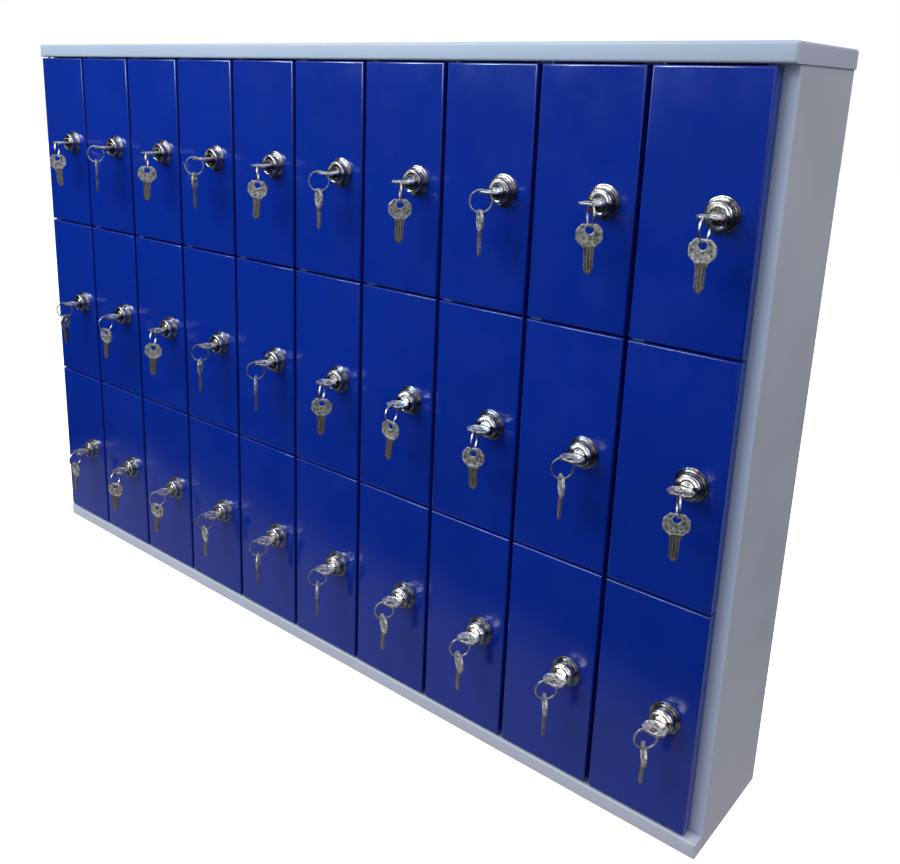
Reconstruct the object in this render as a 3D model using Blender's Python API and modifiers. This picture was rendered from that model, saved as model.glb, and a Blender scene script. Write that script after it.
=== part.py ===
"""Bench-top school locker: a grey steel cabinet with thirty small blue doors, each with a cam lock and keys.

World frame in metres: +X to the right of the locker seen from its front, -Y towards the viewer, +Z up.
The origin is the centre of the base's underside. Rows count from the top and columns from the left, both
from 1 in the names.
"""

from math import asin, cos, pi, sin, sqrt

import bmesh
import bpy
from mathutils import Matrix

# Layout of the doors
ROWS = 3
COLUMNS = 10
TURNING_ROW = 1
COLUMN_GAP = 0.004
ROW_GAP = 0.0019

# Door: a folded pan
DOOR_WIDTH = 0.092
DOOR_HEIGHT = 0.2082
DOOR_DEPTH = 0.013
DOOR_SHEET = 0.001
DOOR_BEND_RADIUS = 0.002
DOOR_BEND_STEPS = 2

# Cabinet
BODY_SHEET = 0.0012
BODY_DEPTH = 0.118
LEFT_MARGIN = 0.0025
RIGHT_MARGIN = 0.0115
DOOR_STANDOFF = 0.0015
SEAT_GAP = 0.0003
CAP_HEIGHT = 0.015
CAP_GAP = 0.0016
BASE_HEIGHT = 0.015
BASE_GAP = 0.002
LEDGE_BACK_GAP = 0.0005
RETURN_GAP = 0.0008
CAP_EDGE_RADIUS = 0.001
CAP_EDGE_STEPS = 2
STRIKE_REACH = 0.012
STRIKE_SETBACK = 0.003
LEFT_FLANGE_WIDTH = 0.009
SLOT_PLAY = 0.0004

# Wall fixing holes in the back panel
WALL_HOLE_RADIUS = 0.0035
WALL_HOLE_INSET_X = 0.048
WALL_HOLE_INSET_Z = 0.06

# Door pivots
PIVOT_INSET = 0.007
PIVOT_SETBACK = 0.0065
PIVOT_RADIUS = 0.0015
PIVOT_HOLE_RADIUS = 0.00196
PIVOT_ENTRY = 0.0003
PIVOT_SHOULDER_RADIUS = 0.003
PIVOT_SIDES = 8
TAB_WIDTH = 0.01
TAB_SETBACK = 0.0042

# Lock housing, fused with its door
LOCK_INSET = 0.0266
LOCK_DROP = 0.104
FLANGE_RADIUS = 0.014
FLANGE_HEIGHT = 0.0025
COLLAR_RADIUS = 0.0108
COLLAR_HEIGHT = 0.0095
BARREL_RADIUS = 0.009
LOCK_SIDES = 12

# Lock plug, cam and nut
PLUG_RADIUS = 0.0058
PLUG_BORE_RADIUS = 0.0065
PLUG_RECESS = 0.0004
CAM_PLAY = 0.001
CAM_THICKNESS = 0.002
CAM_LENGTH = 0.021
CAM_WIDTH = 0.01
CAM_BOSS_RADIUS = 0.0072
CAM_BOSS_STEPS = 4
CAM_TIP_STEPS = 2
CAM_SCREW_RADIUS = 0.0045
CAM_SCREW_HEIGHT = 0.0012
TAIL_WIDTH = 0.006
TAIL_PLAY = 0.0004
NUT_RADIUS = 0.0136
NUT_THICKNESS = 0.003
NUT_SIDES = 6
NUT_PLAY = 0.0004

# Keys and their split ring
BOW_WIDTH = 0.0205
BOW_LENGTH = 0.0175
KEY_THICKNESS = 0.002
KEY_NECK = 0.0012
BLADE_WIDTH = 0.0078
BLADE_LENGTH = 0.0215
KEY_HOLE_RADIUS = 0.0033
KEY_HOLE_INSET = 0.0047
KEY_HOLE_SIDES = 12
RING_RADIUS = 0.0095
RING_WIRE_RADIUS = 0.0008
RING_OVERHANG = 0.0008
RING_STEPS = 20
RING_WIRE_SIDES = 6

# Half outline of the bow from its neck to its end: shares of BOW_WIDTH and of BOW_LENGTH
BOW_SHARES = ((0.21, 0.0), (0.42, 0.16), (0.5, 0.45), (0.47, 0.76), (0.31, 1.0))
# Half outline of the blade from the bow to its tip: shares of BLADE_WIDTH and of BLADE_LENGTH
BLADE_SHARES = ((0.5, 0.0), (0.46, 0.82), (0.18, 1.0))

# How far a cutter or a joined shape runs past the face that it crosses
OVERRUN = 0.002
MERGE_DISTANCE = 0.00005

# Places worked out from the sizes above
COLUMN_PITCH = DOOR_WIDTH + COLUMN_GAP
ROW_PITCH = DOOR_HEIGHT + ROW_GAP
OVERHANG = BODY_SHEET + SEAT_GAP
BODY_WIDTH = LEFT_MARGIN + COLUMNS * COLUMN_PITCH - COLUMN_GAP + RIGHT_MARGIN
CAP_WIDTH = BODY_WIDTH + 2 * OVERHANG
FRAME_SETBACK = DOOR_DEPTH + DOOR_STANDOFF
CAP_DEPTH = FRAME_SETBACK + BODY_DEPTH + OVERHANG
FRONT_Y = -CAP_DEPTH / 2
FRAME_Y = FRONT_Y + FRAME_SETBACK
STRIKE_Y = FRAME_Y + STRIKE_SETBACK
STRIKE_BACK_Y = STRIKE_Y + BODY_SHEET
BACK_Y = FRAME_Y + BODY_DEPTH
BACK_PANEL_Y = BACK_Y - BODY_SHEET
PARTITION_BACK_Y = BACK_PANEL_Y - SEAT_GAP
CROSSING_Y = (FRAME_Y + PARTITION_BACK_Y) / 2
LEFT_X = -BODY_WIDTH / 2
RIGHT_X = BODY_WIDTH / 2
DOORS_BOTTOM_Z = BASE_HEIGHT + BASE_GAP
DOORS_TOP_Z = DOORS_BOTTOM_Z + ROWS * ROW_PITCH - ROW_GAP
CAP_BOTTOM_Z = DOORS_TOP_Z + CAP_GAP
TOP_Z = CAP_BOTTOM_Z + CAP_HEIGHT
BODY_BOTTOM_Z = BODY_SHEET + SEAT_GAP
BODY_TOP_Z = TOP_Z - BODY_SHEET - SEAT_GAP
LEDGE_BACK_Y = FRAME_Y - LEDGE_BACK_GAP
CAP_BACK_Y = FRONT_Y + CAP_DEPTH
PIVOT_Y = FRONT_Y + PIVOT_SETBACK
LOCK_X = DOOR_WIDTH - LOCK_INSET - PIVOT_INSET
LOCK_Z = DOOR_HEIGHT - LOCK_DROP
CAM_FRONT = STRIKE_BACK_Y + CAM_PLAY - FRONT_Y
CAM_BACK = CAM_FRONT + CAM_THICKNESS
BARREL_LENGTH = CAM_FRONT - SEAT_GAP
PLUG_FACE = COLLAR_HEIGHT - PLUG_RECESS
BOW_START = PLUG_FACE + KEY_NECK
BOW_END = BOW_START + BOW_LENGTH
KEY_HOLE_OUT = BOW_END - KEY_HOLE_INSET
RING_INSIDE = RING_RADIUS - RING_WIRE_RADIUS
RING_DROP = sqrt((RING_INSIDE - SEAT_GAP) ** 2 - RING_OVERHANG**2) - KEY_THICKNESS / 2
SPARE_HOLE_DROP = RING_DROP + RING_RADIUS - RING_WIRE_RADIUS - SEAT_GAP + KEY_HOLE_RADIUS


def clear_scene():
    for item in list(bpy.data.objects):
        bpy.data.objects.remove(item)


def new_collection(name, hidden=False):
    collection = bpy.data.collections.new(name)
    collection.hide_render = hidden
    bpy.context.scene.collection.children.link(collection)
    return collection


def paint(name, colour, roughness, metallic):
    material = bpy.data.materials.new(name)
    material.use_nodes = True
    shader = material.node_tree.nodes["Principled BSDF"]
    shader.inputs["Base Color"].default_value = (*colour, 1)
    shader.inputs["Roughness"].default_value = roughness
    shader.inputs["Metallic"].default_value = metallic
    material.diffuse_color = (*colour, 1)
    return material


def add_object(name, mesh, material=None):
    item = bpy.data.objects.new(name, mesh)
    if material and not mesh.materials:
        mesh.materials.append(material)
    LOCKER.objects.link(item)
    return item


def as_tool(item):
    """File an object as a cutter: out of the render and drawn as wire."""
    LOCKER.objects.unlink(item)
    CUTTERS.objects.link(item)
    item.hide_render = True
    item.display_type = "WIRE"
    return item


def combine(piece, tool, operation="DIFFERENCE"):
    modifier = piece.modifiers.new(tool.name, "BOOLEAN")
    modifier.operation = operation
    modifier.object = as_tool(tool)


def settle(piece, material=None):
    """Replace a piece's mesh by its evaluated shape, in its own frame, and drop its modifiers and cutters."""
    graph = bpy.context.evaluated_depsgraph_get()
    mesh = bpy.data.meshes.new_from_object(piece.evaluated_get(graph))
    tools = [modifier.object for modifier in piece.modifiers if modifier.type == "BOOLEAN"]
    piece.modifiers.clear()
    piece.data = mesh
    for tool in tools:
        bpy.data.objects.remove(tool)
    mesh.materials.clear()
    if material:
        mesh.materials.append(material)
    return piece


def box_mesh(name, low, high, round_edges=None, radius=0, steps=1):
    """A box between two corners. round_edges picks, from an edge's two ends, the edges that get a radius."""
    shape = bmesh.new()
    bmesh.ops.create_cube(shape, size=1)
    size = [b - a for a, b in zip(low, high)]
    middle = [(a + b) / 2 for a, b in zip(low, high)]
    place = Matrix.Translation(middle) @ Matrix.Diagonal((*size, 1))
    bmesh.ops.transform(shape, matrix=place, verts=shape.verts)
    if round_edges:
        chosen = [edge for edge in shape.edges if round_edges(edge.verts[0].co, edge.verts[1].co)]
        bmesh.ops.bevel(shape, geom=chosen, offset=radius, segments=steps, profile=0.5, affect="EDGES")
    mesh = bpy.data.meshes.new(name)
    shape.to_mesh(mesh)
    shape.free()
    return mesh


def box(name, low, high, material=None):
    return add_object(name, box_mesh(name, low, high), material)


def boxes(name, corners):
    """One mesh of several boxes, each given by its two corners."""
    shape = bmesh.new()
    for low, high in corners:
        size = [b - a for a, b in zip(low, high)]
        middle = [(a + b) / 2 for a, b in zip(low, high)]
        bmesh.ops.create_cube(shape, size=1, matrix=Matrix.Translation(middle) @ Matrix.Diagonal((*size, 1)))
    mesh = bpy.data.meshes.new(name)
    shape.to_mesh(mesh)
    shape.free()
    return add_object(name, mesh)


def upright_cylinders(name, places, radius, low, high, sides):
    """One mesh of equal upright cylinders at several places, each (x, y)."""
    shape = bmesh.new()
    for x, y in places:
        bmesh.ops.create_cone(
            shape,
            cap_ends=True,
            segments=sides,
            radius1=radius,
            radius2=radius,
            depth=high - low,
            matrix=Matrix.Translation((x, y, (low + high) / 2)),
        )
    mesh = bpy.data.meshes.new(name)
    shape.to_mesh(mesh)
    shape.free()
    return add_object(name, mesh)


def cylinder_along_y(name, radius, low, high, sides, x=0, z=0):
    """A cylinder whose axis lies along Y, between two values of y."""
    turn = Matrix.Translation((x, (low + high) / 2, z)) @ Matrix.Rotation(pi / 2, 4, "X")
    shape = bmesh.new()
    bmesh.ops.create_cone(
        shape, cap_ends=True, segments=sides, radius1=radius, radius2=radius, depth=high - low, matrix=turn
    )
    mesh = bpy.data.meshes.new(name)
    shape.to_mesh(mesh)
    shape.free()
    return add_object(name, mesh)


def turned_piece(name, profile, sides):
    """A profile of (radius, height) points, top to bottom, turned round Z."""
    mesh = bpy.data.meshes.new(name)
    points = [(radius, 0, height) for radius, height in profile]
    mesh.from_pydata(points, [(i, i + 1) for i in range(len(points) - 1)], [])
    piece = add_object(name, mesh)
    screw = piece.modifiers.new("turn", "SCREW")
    screw.steps = sides
    screw.render_steps = sides
    screw.use_merge_vertices = True
    screw.merge_threshold = MERGE_DISTANCE
    return settle(piece)


def flat_piece(name, loops, thickness, material=None):
    """A plate in the XY plane, centred on z = 0. The first loop is its outline and the others are holes."""
    curve = bpy.data.curves.new(name, "CURVE")
    curve.dimensions = "2D"
    curve.fill_mode = "BOTH"
    curve.extrude = thickness / 2
    for loop in loops:
        spline = curve.splines.new("POLY")
        spline.points.add(len(loop) - 1)
        for point, (x, y) in zip(spline.points, loop):
            point.co = (x, y, 0, 1)
        spline.use_cyclic_u = True
    drawn = bpy.data.objects.new(name + "_outline", curve)
    LOCKER.objects.link(drawn)
    graph = bpy.context.evaluated_depsgraph_get()
    mesh = bpy.data.meshes.new_from_object(drawn.evaluated_get(graph))
    bpy.data.objects.remove(drawn)
    shape = bmesh.new()
    shape.from_mesh(mesh)
    bmesh.ops.remove_doubles(shape, verts=shape.verts, dist=MERGE_DISTANCE)
    bmesh.ops.recalc_face_normals(shape, faces=shape.faces)
    shape.to_mesh(mesh)
    shape.free()
    mesh.name = name
    mesh.materials.clear()
    return add_object(name, mesh, material)


def shade_round(piece):
    piece.data.shade_smooth()
    piece.data.set_sharp_from_angle(angle=pi / 5)


def arc(radius, start, end, steps, x=0, y=0):
    """Points along an arc round (x, y), angles in radians, both ends included."""
    turns = [start + (end - start) * i / steps for i in range(steps + 1)]
    return [(x + radius * cos(turn), y + radius * sin(turn)) for turn in turns]


def mirrored(half):
    """A closed outline from its right half, listed from one end of the axis to the other."""
    return list(half) + [(-x, y) for x, y in reversed(half)]


def door_left_x(column):
    return LEFT_X + LEFT_MARGIN + (column - 1) * COLUMN_PITCH


def pivot_x(column):
    return door_left_x(column) + PIVOT_INSET


def door_bottom_z(row):
    return DOORS_BOTTOM_Z + (ROWS - row) * ROW_PITCH


def partition_x(column):
    """Middle of the gap on the right of a column, where its partition stands."""
    return door_left_x(column) + DOOR_WIDTH + COLUMN_GAP / 2


def right_strike_x():
    """Left edge of the right side's front flange, the strike of the last column."""
    return door_left_x(COLUMNS) + DOOR_WIDTH - STRIKE_REACH


def shelf_top_z(row):
    """Top face of the shelf under a row: the row's doors rest on its tabs."""
    return door_bottom_z(row) - SEAT_GAP


def pivot_places():
    return [(pivot_x(column), PIVOT_Y) for column in range(1, COLUMNS + 1)]


def make_cap(material):
    """A shallow folded tray that opens downwards, with a front lip, ledge, return wall and pivot pins.

    It is shaped with its underside at z = 0 and then raised to its place.
    """
    low = (-CAP_WIDTH / 2, FRONT_Y, 0)
    high = (CAP_WIDTH / 2, CAP_BACK_Y, CAP_HEIGHT)

    def outer_bends(a, b):
        upright = abs(a.z - b.z) > OVERRUN
        on_top = min(a.z, b.z) > CAP_HEIGHT - MERGE_DISTANCE
        return upright or on_top

    cap = add_object("top_cap", box_mesh("top_cap", low, high, outer_bends, CAP_EDGE_RADIUS, CAP_EDGE_STEPS))
    inside_low = [edge + BODY_SHEET for edge in low]
    inside_high = [edge - BODY_SHEET for edge in high]
    combine(cap, box("cap_channel", inside_low, inside_high))
    combine(cap, box("cap_mouth", (inside_low[0], LEDGE_BACK_Y, -OVERRUN), inside_high))
    return_low = (inside_low[0] + SEAT_GAP, LEDGE_BACK_Y - BODY_SHEET, BODY_SHEET / 2)
    return_high = (inside_high[0] - SEAT_GAP, LEDGE_BACK_Y, inside_high[2] - RETURN_GAP)
    combine(cap, box("cap_return", return_low, return_high), "UNION")
    pin_end = -CAP_GAP - DOOR_SHEET - PIVOT_ENTRY
    pins = upright_cylinders("cap_pins", pivot_places(), PIVOT_RADIUS, pin_end, BODY_SHEET / 2, PIVOT_SIDES)
    combine(cap, pins, "UNION")
    settle(cap, material)
    cap.location.z = CAP_BOTTOM_Z
    return cap


def make_base(material):
    """A folded front channel as wide as the sides, with a floor and a rear wall that lie between them."""

    def front_bends(a, b):
        return max(a.y, b.y) < FRONT_Y + MERGE_DISTANCE

    low = (LEFT_X, FRONT_Y, 0)
    high = (RIGHT_X, LEDGE_BACK_Y, BASE_HEIGHT)
    mesh = box_mesh("base_tray", low, high, front_bends, CAP_EDGE_RADIUS, CAP_EDGE_STEPS)
    base = add_object("base_tray", mesh)
    inside_low = [edge + BODY_SHEET for edge in low]
    inside_high = [high[0] - BODY_SHEET, LEDGE_BACK_Y + OVERRUN, BASE_HEIGHT - BODY_SHEET]
    combine(base, box("base_channel", inside_low, inside_high))
    return_y = LEDGE_BACK_Y - BODY_SHEET
    return_low = (inside_low[0] + SEAT_GAP, return_y, inside_low[2] + RETURN_GAP)
    return_high = (inside_high[0] - SEAT_GAP, LEDGE_BACK_Y, BASE_HEIGHT - BODY_SHEET / 2)
    combine(base, box("base_return", return_low, return_high), "UNION")
    floor_x = RIGHT_X - BODY_SHEET - SEAT_GAP
    combine(base, box("base_floor", (-floor_x, return_y, 0), (floor_x, CAP_BACK_Y, BODY_SHEET)), "UNION")
    rear_low = (-floor_x, CAP_BACK_Y - BODY_SHEET, BODY_SHEET / 2)
    combine(base, box("base_rear", rear_low, (floor_x, CAP_BACK_Y, BASE_HEIGHT)), "UNION")
    root = BASE_HEIGHT - BODY_SHEET / 2
    shoulder_top = DOORS_BOTTOM_Z - SEAT_GAP
    pin_end = DOORS_BOTTOM_Z + DOOR_SHEET + PIVOT_ENTRY
    shoulders = upright_cylinders(
        "base_shoulders", pivot_places(), PIVOT_SHOULDER_RADIUS, root, shoulder_top, PIVOT_SIDES
    )
    pins = upright_cylinders("base_pins", pivot_places(), PIVOT_RADIUS, BASE_HEIGHT, pin_end, PIVOT_SIDES)
    combine(base, shoulders, "UNION")
    combine(base, pins, "UNION")
    return settle(base, material)


def cut_shelf_slots(piece, low_x, high_x, back_y):
    """Slots in an upright sheet, open at its front, that let the shelves through."""
    for row in range(1, ROWS):
        top = shelf_top_z(row) + SLOT_PLAY
        bottom = shelf_top_z(row) - BODY_SHEET - SLOT_PLAY
        low = (low_x, FRAME_Y - OVERRUN, bottom)
        combine(piece, box(f"{piece.name}_slot_{row}", low, (high_x, back_y, top)))


def upright_sheet(name, outline, material, bottom=BODY_BOTTOM_Z):
    """An outline seen from above, as tall as the carcass."""
    piece = flat_piece(name, [outline], BODY_TOP_Z - bottom, material)
    piece.location.z = (BODY_TOP_Z + bottom) / 2
    return piece


def clear_floor(side, low_x, high_x):
    """Cut a side's flanges off above the base's floor. Its outer sheet goes down past the floor's edge."""
    low = (low_x, FRAME_Y - OVERRUN, -OVERRUN)
    combine(side, box(side.name + "_foot", low, (high_x, BACK_Y + OVERRUN, BODY_BOTTOM_Z)))


def settle_in_world(piece, material):
    """Settle a piece that its modifiers cut in world places. Its own place stays as it is."""
    bpy.context.view_layer.update()
    return settle(piece, material)


def make_left_side(material):
    inner_x = LEFT_X + BODY_SHEET
    outline = [
        (LEFT_X, STRIKE_Y),
        (LEFT_X + LEFT_FLANGE_WIDTH, STRIKE_Y),
        (LEFT_X + LEFT_FLANGE_WIDTH, STRIKE_BACK_Y),
        (inner_x, STRIKE_BACK_Y),
        (inner_x, BACK_Y),
        (LEFT_X, BACK_Y),
    ]
    side = upright_sheet("left_side", outline, material, bottom=0)
    clear_floor(side, inner_x, LEFT_X + LEFT_FLANGE_WIDTH + OVERRUN)
    cut_shelf_slots(side, inner_x, LEFT_X + LEFT_FLANGE_WIDTH + OVERRUN, STRIKE_BACK_Y + SLOT_PLAY)
    return settle_in_world(side, material)


def make_right_side(material):
    inner_x = RIGHT_X - BODY_SHEET
    tip_x = right_strike_x()
    frame_back_y = FRAME_Y + BODY_SHEET
    outline = [
        (RIGHT_X, FRAME_Y),
        (RIGHT_X, BACK_Y),
        (inner_x, BACK_Y),
        (inner_x, frame_back_y),
        (tip_x + BODY_SHEET, frame_back_y),
        (tip_x + BODY_SHEET, STRIKE_BACK_Y),
        (tip_x, STRIKE_BACK_Y),
        (tip_x, FRAME_Y),
    ]
    side = upright_sheet("right_side", outline, material, bottom=0)
    clear_floor(side, tip_x - OVERRUN, inner_x)
    return settle_in_world(side, material)


def make_partition(column, material):
    """An upright sheet behind a gap between columns. Its flange is the strike of the doors on its left."""
    middle_x = partition_x(column)
    tip_x = middle_x - COLUMN_GAP / 2 - STRIKE_REACH
    left_x = middle_x - BODY_SHEET / 2
    right_x = middle_x + BODY_SHEET / 2
    outline = [
        (tip_x, STRIKE_Y),
        (right_x, STRIKE_Y),
        (right_x, PARTITION_BACK_Y),
        (left_x, PARTITION_BACK_Y),
        (left_x, STRIKE_BACK_Y),
        (tip_x, STRIKE_BACK_Y),
    ]
    partition = upright_sheet(f"partition_{column}", outline, material)
    cut_shelf_slots(partition, tip_x - OVERRUN, right_x + OVERRUN, CROSSING_Y + SEAT_GAP / 2)
    return settle_in_world(partition, material)


def make_shelf(row, material):
    """The shelf under a row: tabs in front with pins for the doors, slots behind for the partitions.

    Its right end stays behind the right side's front flange, which shows beside the doors.
    """
    top = shelf_top_z(row)
    bottom = top - BODY_SHEET
    left_x = LEFT_X + BODY_SHEET + SEAT_GAP
    right_x = RIGHT_X - BODY_SHEET - SEAT_GAP
    shelf = box(f"shelf_{row}", (left_x, FRAME_Y, bottom), (right_x, PARTITION_BACK_Y, top), material)
    half_tab = TAB_WIDTH / 2
    tabs = [
        ((x - half_tab, FRONT_Y + TAB_SETBACK, bottom), (x + half_tab, FRAME_Y + OVERRUN, top))
        for x, y in pivot_places()
    ]
    half_slot = BODY_SHEET / 2 + SLOT_PLAY
    middles = [partition_x(column) for column in range(1, COLUMNS)]
    slot_y = CROSSING_Y - SEAT_GAP / 2
    slot_end_y = PARTITION_BACK_Y + OVERRUN
    cuts = [
        ((x - half_slot, slot_y, bottom - OVERRUN), (x + half_slot, slot_end_y, top + OVERRUN))
        for x in middles
    ]
    pin_low = door_bottom_z(row) - ROW_GAP - DOOR_SHEET - PIVOT_ENTRY
    pin_high = door_bottom_z(row) + DOOR_SHEET + PIVOT_ENTRY
    pins = upright_cylinders(
        f"shelf_{row}_pins", pivot_places(), PIVOT_RADIUS, pin_low, pin_high, PIVOT_SIDES
    )
    combine(shelf, boxes(f"shelf_{row}_tabs", tabs), "UNION")
    cuts.append((
        (right_strike_x() - SLOT_PLAY, FRAME_Y - OVERRUN, bottom - OVERRUN),
        (right_x + OVERRUN, STRIKE_BACK_Y + SLOT_PLAY, top + OVERRUN),
    ))
    combine(shelf, boxes(f"shelf_{row}_cuts", cuts))
    combine(shelf, pins, "UNION")
    return settle(shelf, material)


def make_back(material):
    side_x = RIGHT_X - BODY_SHEET - SEAT_GAP
    low = (-side_x, BACK_PANEL_Y, BODY_BOTTOM_Z)
    high = (side_x, BACK_Y, BODY_TOP_Z)
    back = box("back_panel", low, high, material)
    for x in (low[0] + WALL_HOLE_INSET_X, high[0] - WALL_HOLE_INSET_X):
        for z in (low[2] + WALL_HOLE_INSET_Z, high[2] - WALL_HOLE_INSET_Z):
            start = BACK_PANEL_Y - OVERRUN
            end = BACK_Y + OVERRUN
            combine(back, cylinder_along_y("wall_hole", WALL_HOLE_RADIUS, start, end, PIVOT_SIDES, x, z))
    return settle(back, material)


def make_pan(name):
    """The door's folded sheet in the door's frame: its pivot axis is Z and its bottom edge is at z = 0."""
    front = -PIVOT_SETBACK
    low = (-PIVOT_INSET, front, 0)
    high = (DOOR_WIDTH - PIVOT_INSET, front + DOOR_DEPTH, DOOR_HEIGHT)

    def front_edges(a, b):
        return max(abs(a.y - front), abs(b.y - front)) < MERGE_DISTANCE

    mesh = box_mesh(name, low, high, front_edges, DOOR_BEND_RADIUS, DOOR_BEND_STEPS)
    shape = bmesh.new()
    shape.from_mesh(mesh)
    rear = [face for face in shape.faces if face.normal.y > cos(pi / 6)]
    bmesh.ops.delete(shape, geom=rear, context="FACES_ONLY")
    shape.to_mesh(mesh)
    shape.free()
    pan = add_object(name, mesh)
    sheet = pan.modifiers.new("sheet", "SOLIDIFY")
    sheet.thickness = DOOR_SHEET
    sheet.offset = -1
    sheet.use_even_offset = True
    hole = upright_cylinders(
        name + "_pivot_holes", [(0, 0)], PIVOT_HOLE_RADIUS, -OVERRUN, DOOR_HEIGHT + OVERRUN, PIVOT_SIDES
    )
    combine(pan, hole)
    return pan


def housing(name):
    """Flange, collar and barrel of a lock. Heights count outwards from the door's face."""
    profile = [
        (0, COLLAR_HEIGHT),
        (COLLAR_RADIUS, COLLAR_HEIGHT),
        (COLLAR_RADIUS, FLANGE_HEIGHT),
        (FLANGE_RADIUS, FLANGE_HEIGHT),
        (FLANGE_RADIUS, -DOOR_SHEET / 2),
        (BARREL_RADIUS, -DOOR_SHEET / 2),
        (BARREL_RADIUS, -BARREL_LENGTH),
        (0, -BARREL_LENGTH),
    ]
    piece = turned_piece(name, profile, LOCK_SIDES)
    piece.rotation_euler.x = pi / 2
    piece.location = (LOCK_X, -PIVOT_SETBACK, LOCK_Z)
    return piece


def bow_half():
    """Right half of the bow's outline, from its neck to its end, as (across, along)."""
    return [(BOW_WIDTH * x, BOW_LENGTH * y) for x, y in BOW_SHARES]


def key_hole(x, y):
    return arc(KEY_HOLE_RADIUS, 2 * pi, 2 * pi / KEY_HOLE_SIDES, KEY_HOLE_SIDES - 1, x, y)


def inserted_key(name):
    """Bow and neck of a key in its plug, flat in the XY plane. The lock's axis is -Y, the face is y = 0."""
    neck_half = BOW_WIDTH * BOW_SHARES[0][0]
    half = [(neck_half, PLUG_FACE - OVERRUN)] + [(x, BOW_START + y) for x, y in bow_half()]
    outline = [(x, -y) for x, y in mirrored(half)]
    return flat_piece(name, [outline, key_hole(0, -KEY_HOLE_OUT)], KEY_THICKNESS)


def make_spare_key(material):
    """A whole key. Its origin is its hole's centre, and its blade hangs along -Z when it is placed."""
    along_shift = BOW_LENGTH - KEY_HOLE_INSET
    blade = [(BLADE_WIDTH * x, -BLADE_LENGTH * y) for x, y in BLADE_SHARES]
    half = list(reversed(blade)) + bow_half()
    outline = [(x, y - along_shift) for x, y in mirrored(half)]
    return flat_piece("spare_key_r1_c10", [outline, key_hole(0, 0)], KEY_THICKNESS, material)


def cam_outline():
    """Cam seen from the front with its arm along -Y: a round boss and a round-ended arm."""
    half_arm = CAM_WIDTH / 2
    tip = arc(half_arm, -pi / 2, 0, CAM_TIP_STEPS, 0, half_arm - CAM_LENGTH)
    boss = arc(CAM_BOSS_RADIUS, asin(half_arm / CAM_BOSS_RADIUS) - pi / 2, pi / 2, CAM_BOSS_STEPS)
    right_half = tip + boss
    left_half = [(-x, y) for x, y in reversed(right_half[1:-1])]
    return right_half + left_half


def placed_along_y(piece, out):
    """Stand a flat piece up to face the viewer, its middle at a distance out from the door's face."""
    piece.rotation_euler.x = pi / 2
    piece.location.y = -out
    return piece


def make_cam(name, material=None, loops=()):
    cam = flat_piece(name, [cam_outline(), *loops], CAM_THICKNESS, material)
    return placed_along_y(cam, -(CAM_FRONT + CAM_BACK) / 2)


def make_turning_lock_mesh(material):
    """Plug, key and cam that turn together. The lock's axis is Y through the origin, the face is y = 0."""
    screw_end = CAM_BACK + CAM_SCREW_HEIGHT
    plug = cylinder_along_y("turning_lock", PLUG_RADIUS, -PLUG_FACE, screw_end, LOCK_SIDES)
    combine(plug, inserted_key("turning_lock_key"), "UNION")
    combine(plug, make_cam("turning_lock_cam"), "UNION")
    bpy.context.view_layer.update()
    settle(plug, material)
    shade_round(plug)
    return plug


def make_door_mesh(name, material, turning):
    """A door with its lock housing: bored for a turning plug, or with its plug and key fused in."""
    pan = make_pan(name)
    combine(pan, housing(name + "_housing"), "UNION")
    if turning:
        start = -PIVOT_SETBACK - COLLAR_HEIGHT - OVERRUN
        end = -PIVOT_SETBACK + BARREL_LENGTH + OVERRUN
        bore = cylinder_along_y(name + "_bore", PLUG_BORE_RADIUS, start, end, LOCK_SIDES, LOCK_X, LOCK_Z)
        combine(pan, bore)
    else:
        key = inserted_key(name + "_key")
        key.location = (LOCK_X, -PIVOT_SETBACK, LOCK_Z)
        combine(pan, key, "UNION")
    bpy.context.view_layer.update()
    settle(pan, material)
    shade_round(pan)
    return pan


def make_doors(material):
    """All doors. The first of each kind is the piece that carries its shared mesh."""
    patterns = {}
    doors = {}
    for row in range(1, ROWS + 1):
        for column in range(1, COLUMNS + 1):
            name = f"door_r{row}_c{column}"
            turning = row == TURNING_ROW
            if turning in patterns:
                door = add_object(name, patterns[turning].data)
            else:
                door = patterns[turning] = make_door_mesh(name, material, turning)
            door.location = (pivot_x(column), PIVOT_Y, door_bottom_z(row))
            doors[row, column] = door
    return doors


def on_lock_axis(piece, door):
    """Hang a piece on a door, its origin where the lock's axis meets the door's face."""
    piece.parent = door
    piece.location = (LOCK_X, -PIVOT_SETBACK, LOCK_Z)
    return piece


def make_turning_locks(doors, material):
    """One-piece plug, key and cam for each door of the turning row but the last."""
    first = None
    for column in range(1, COLUMNS):
        name = f"lock_r{TURNING_ROW}_c{column}"
        if first is None:
            first = lock = make_turning_lock_mesh(material)
            lock.name = name
        else:
            lock = add_object(name, first.data)
        on_lock_axis(lock, doors[TURNING_ROW, column])


def make_plug_with_key(material):
    """Plug, key, square tail and cam screw of the lock whose cam is a piece of its own."""
    name = f"plug_and_key_r{TURNING_ROW}_c{COLUMNS}"
    plug = cylinder_along_y(name, PLUG_RADIUS, -PLUG_FACE, BARREL_LENGTH, LOCK_SIDES)
    screw_start = CAM_BACK + SEAT_GAP
    half_tail = TAIL_WIDTH / 2
    tail_low = (-half_tail, BARREL_LENGTH - OVERRUN, -half_tail)
    tail_high = (half_tail, screw_start + CAM_SCREW_HEIGHT / 2, half_tail)
    combine(plug, box("tail", tail_low, tail_high), "UNION")
    screw_end = screw_start + CAM_SCREW_HEIGHT
    screw = cylinder_along_y("cam_screw", CAM_SCREW_RADIUS, screw_start, screw_end, PIVOT_SIDES)
    combine(plug, screw, "UNION")
    combine(plug, inserted_key(name + "_key"), "UNION")
    bpy.context.view_layer.update()
    settle(plug, material)
    shade_round(plug)
    return plug


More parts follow.
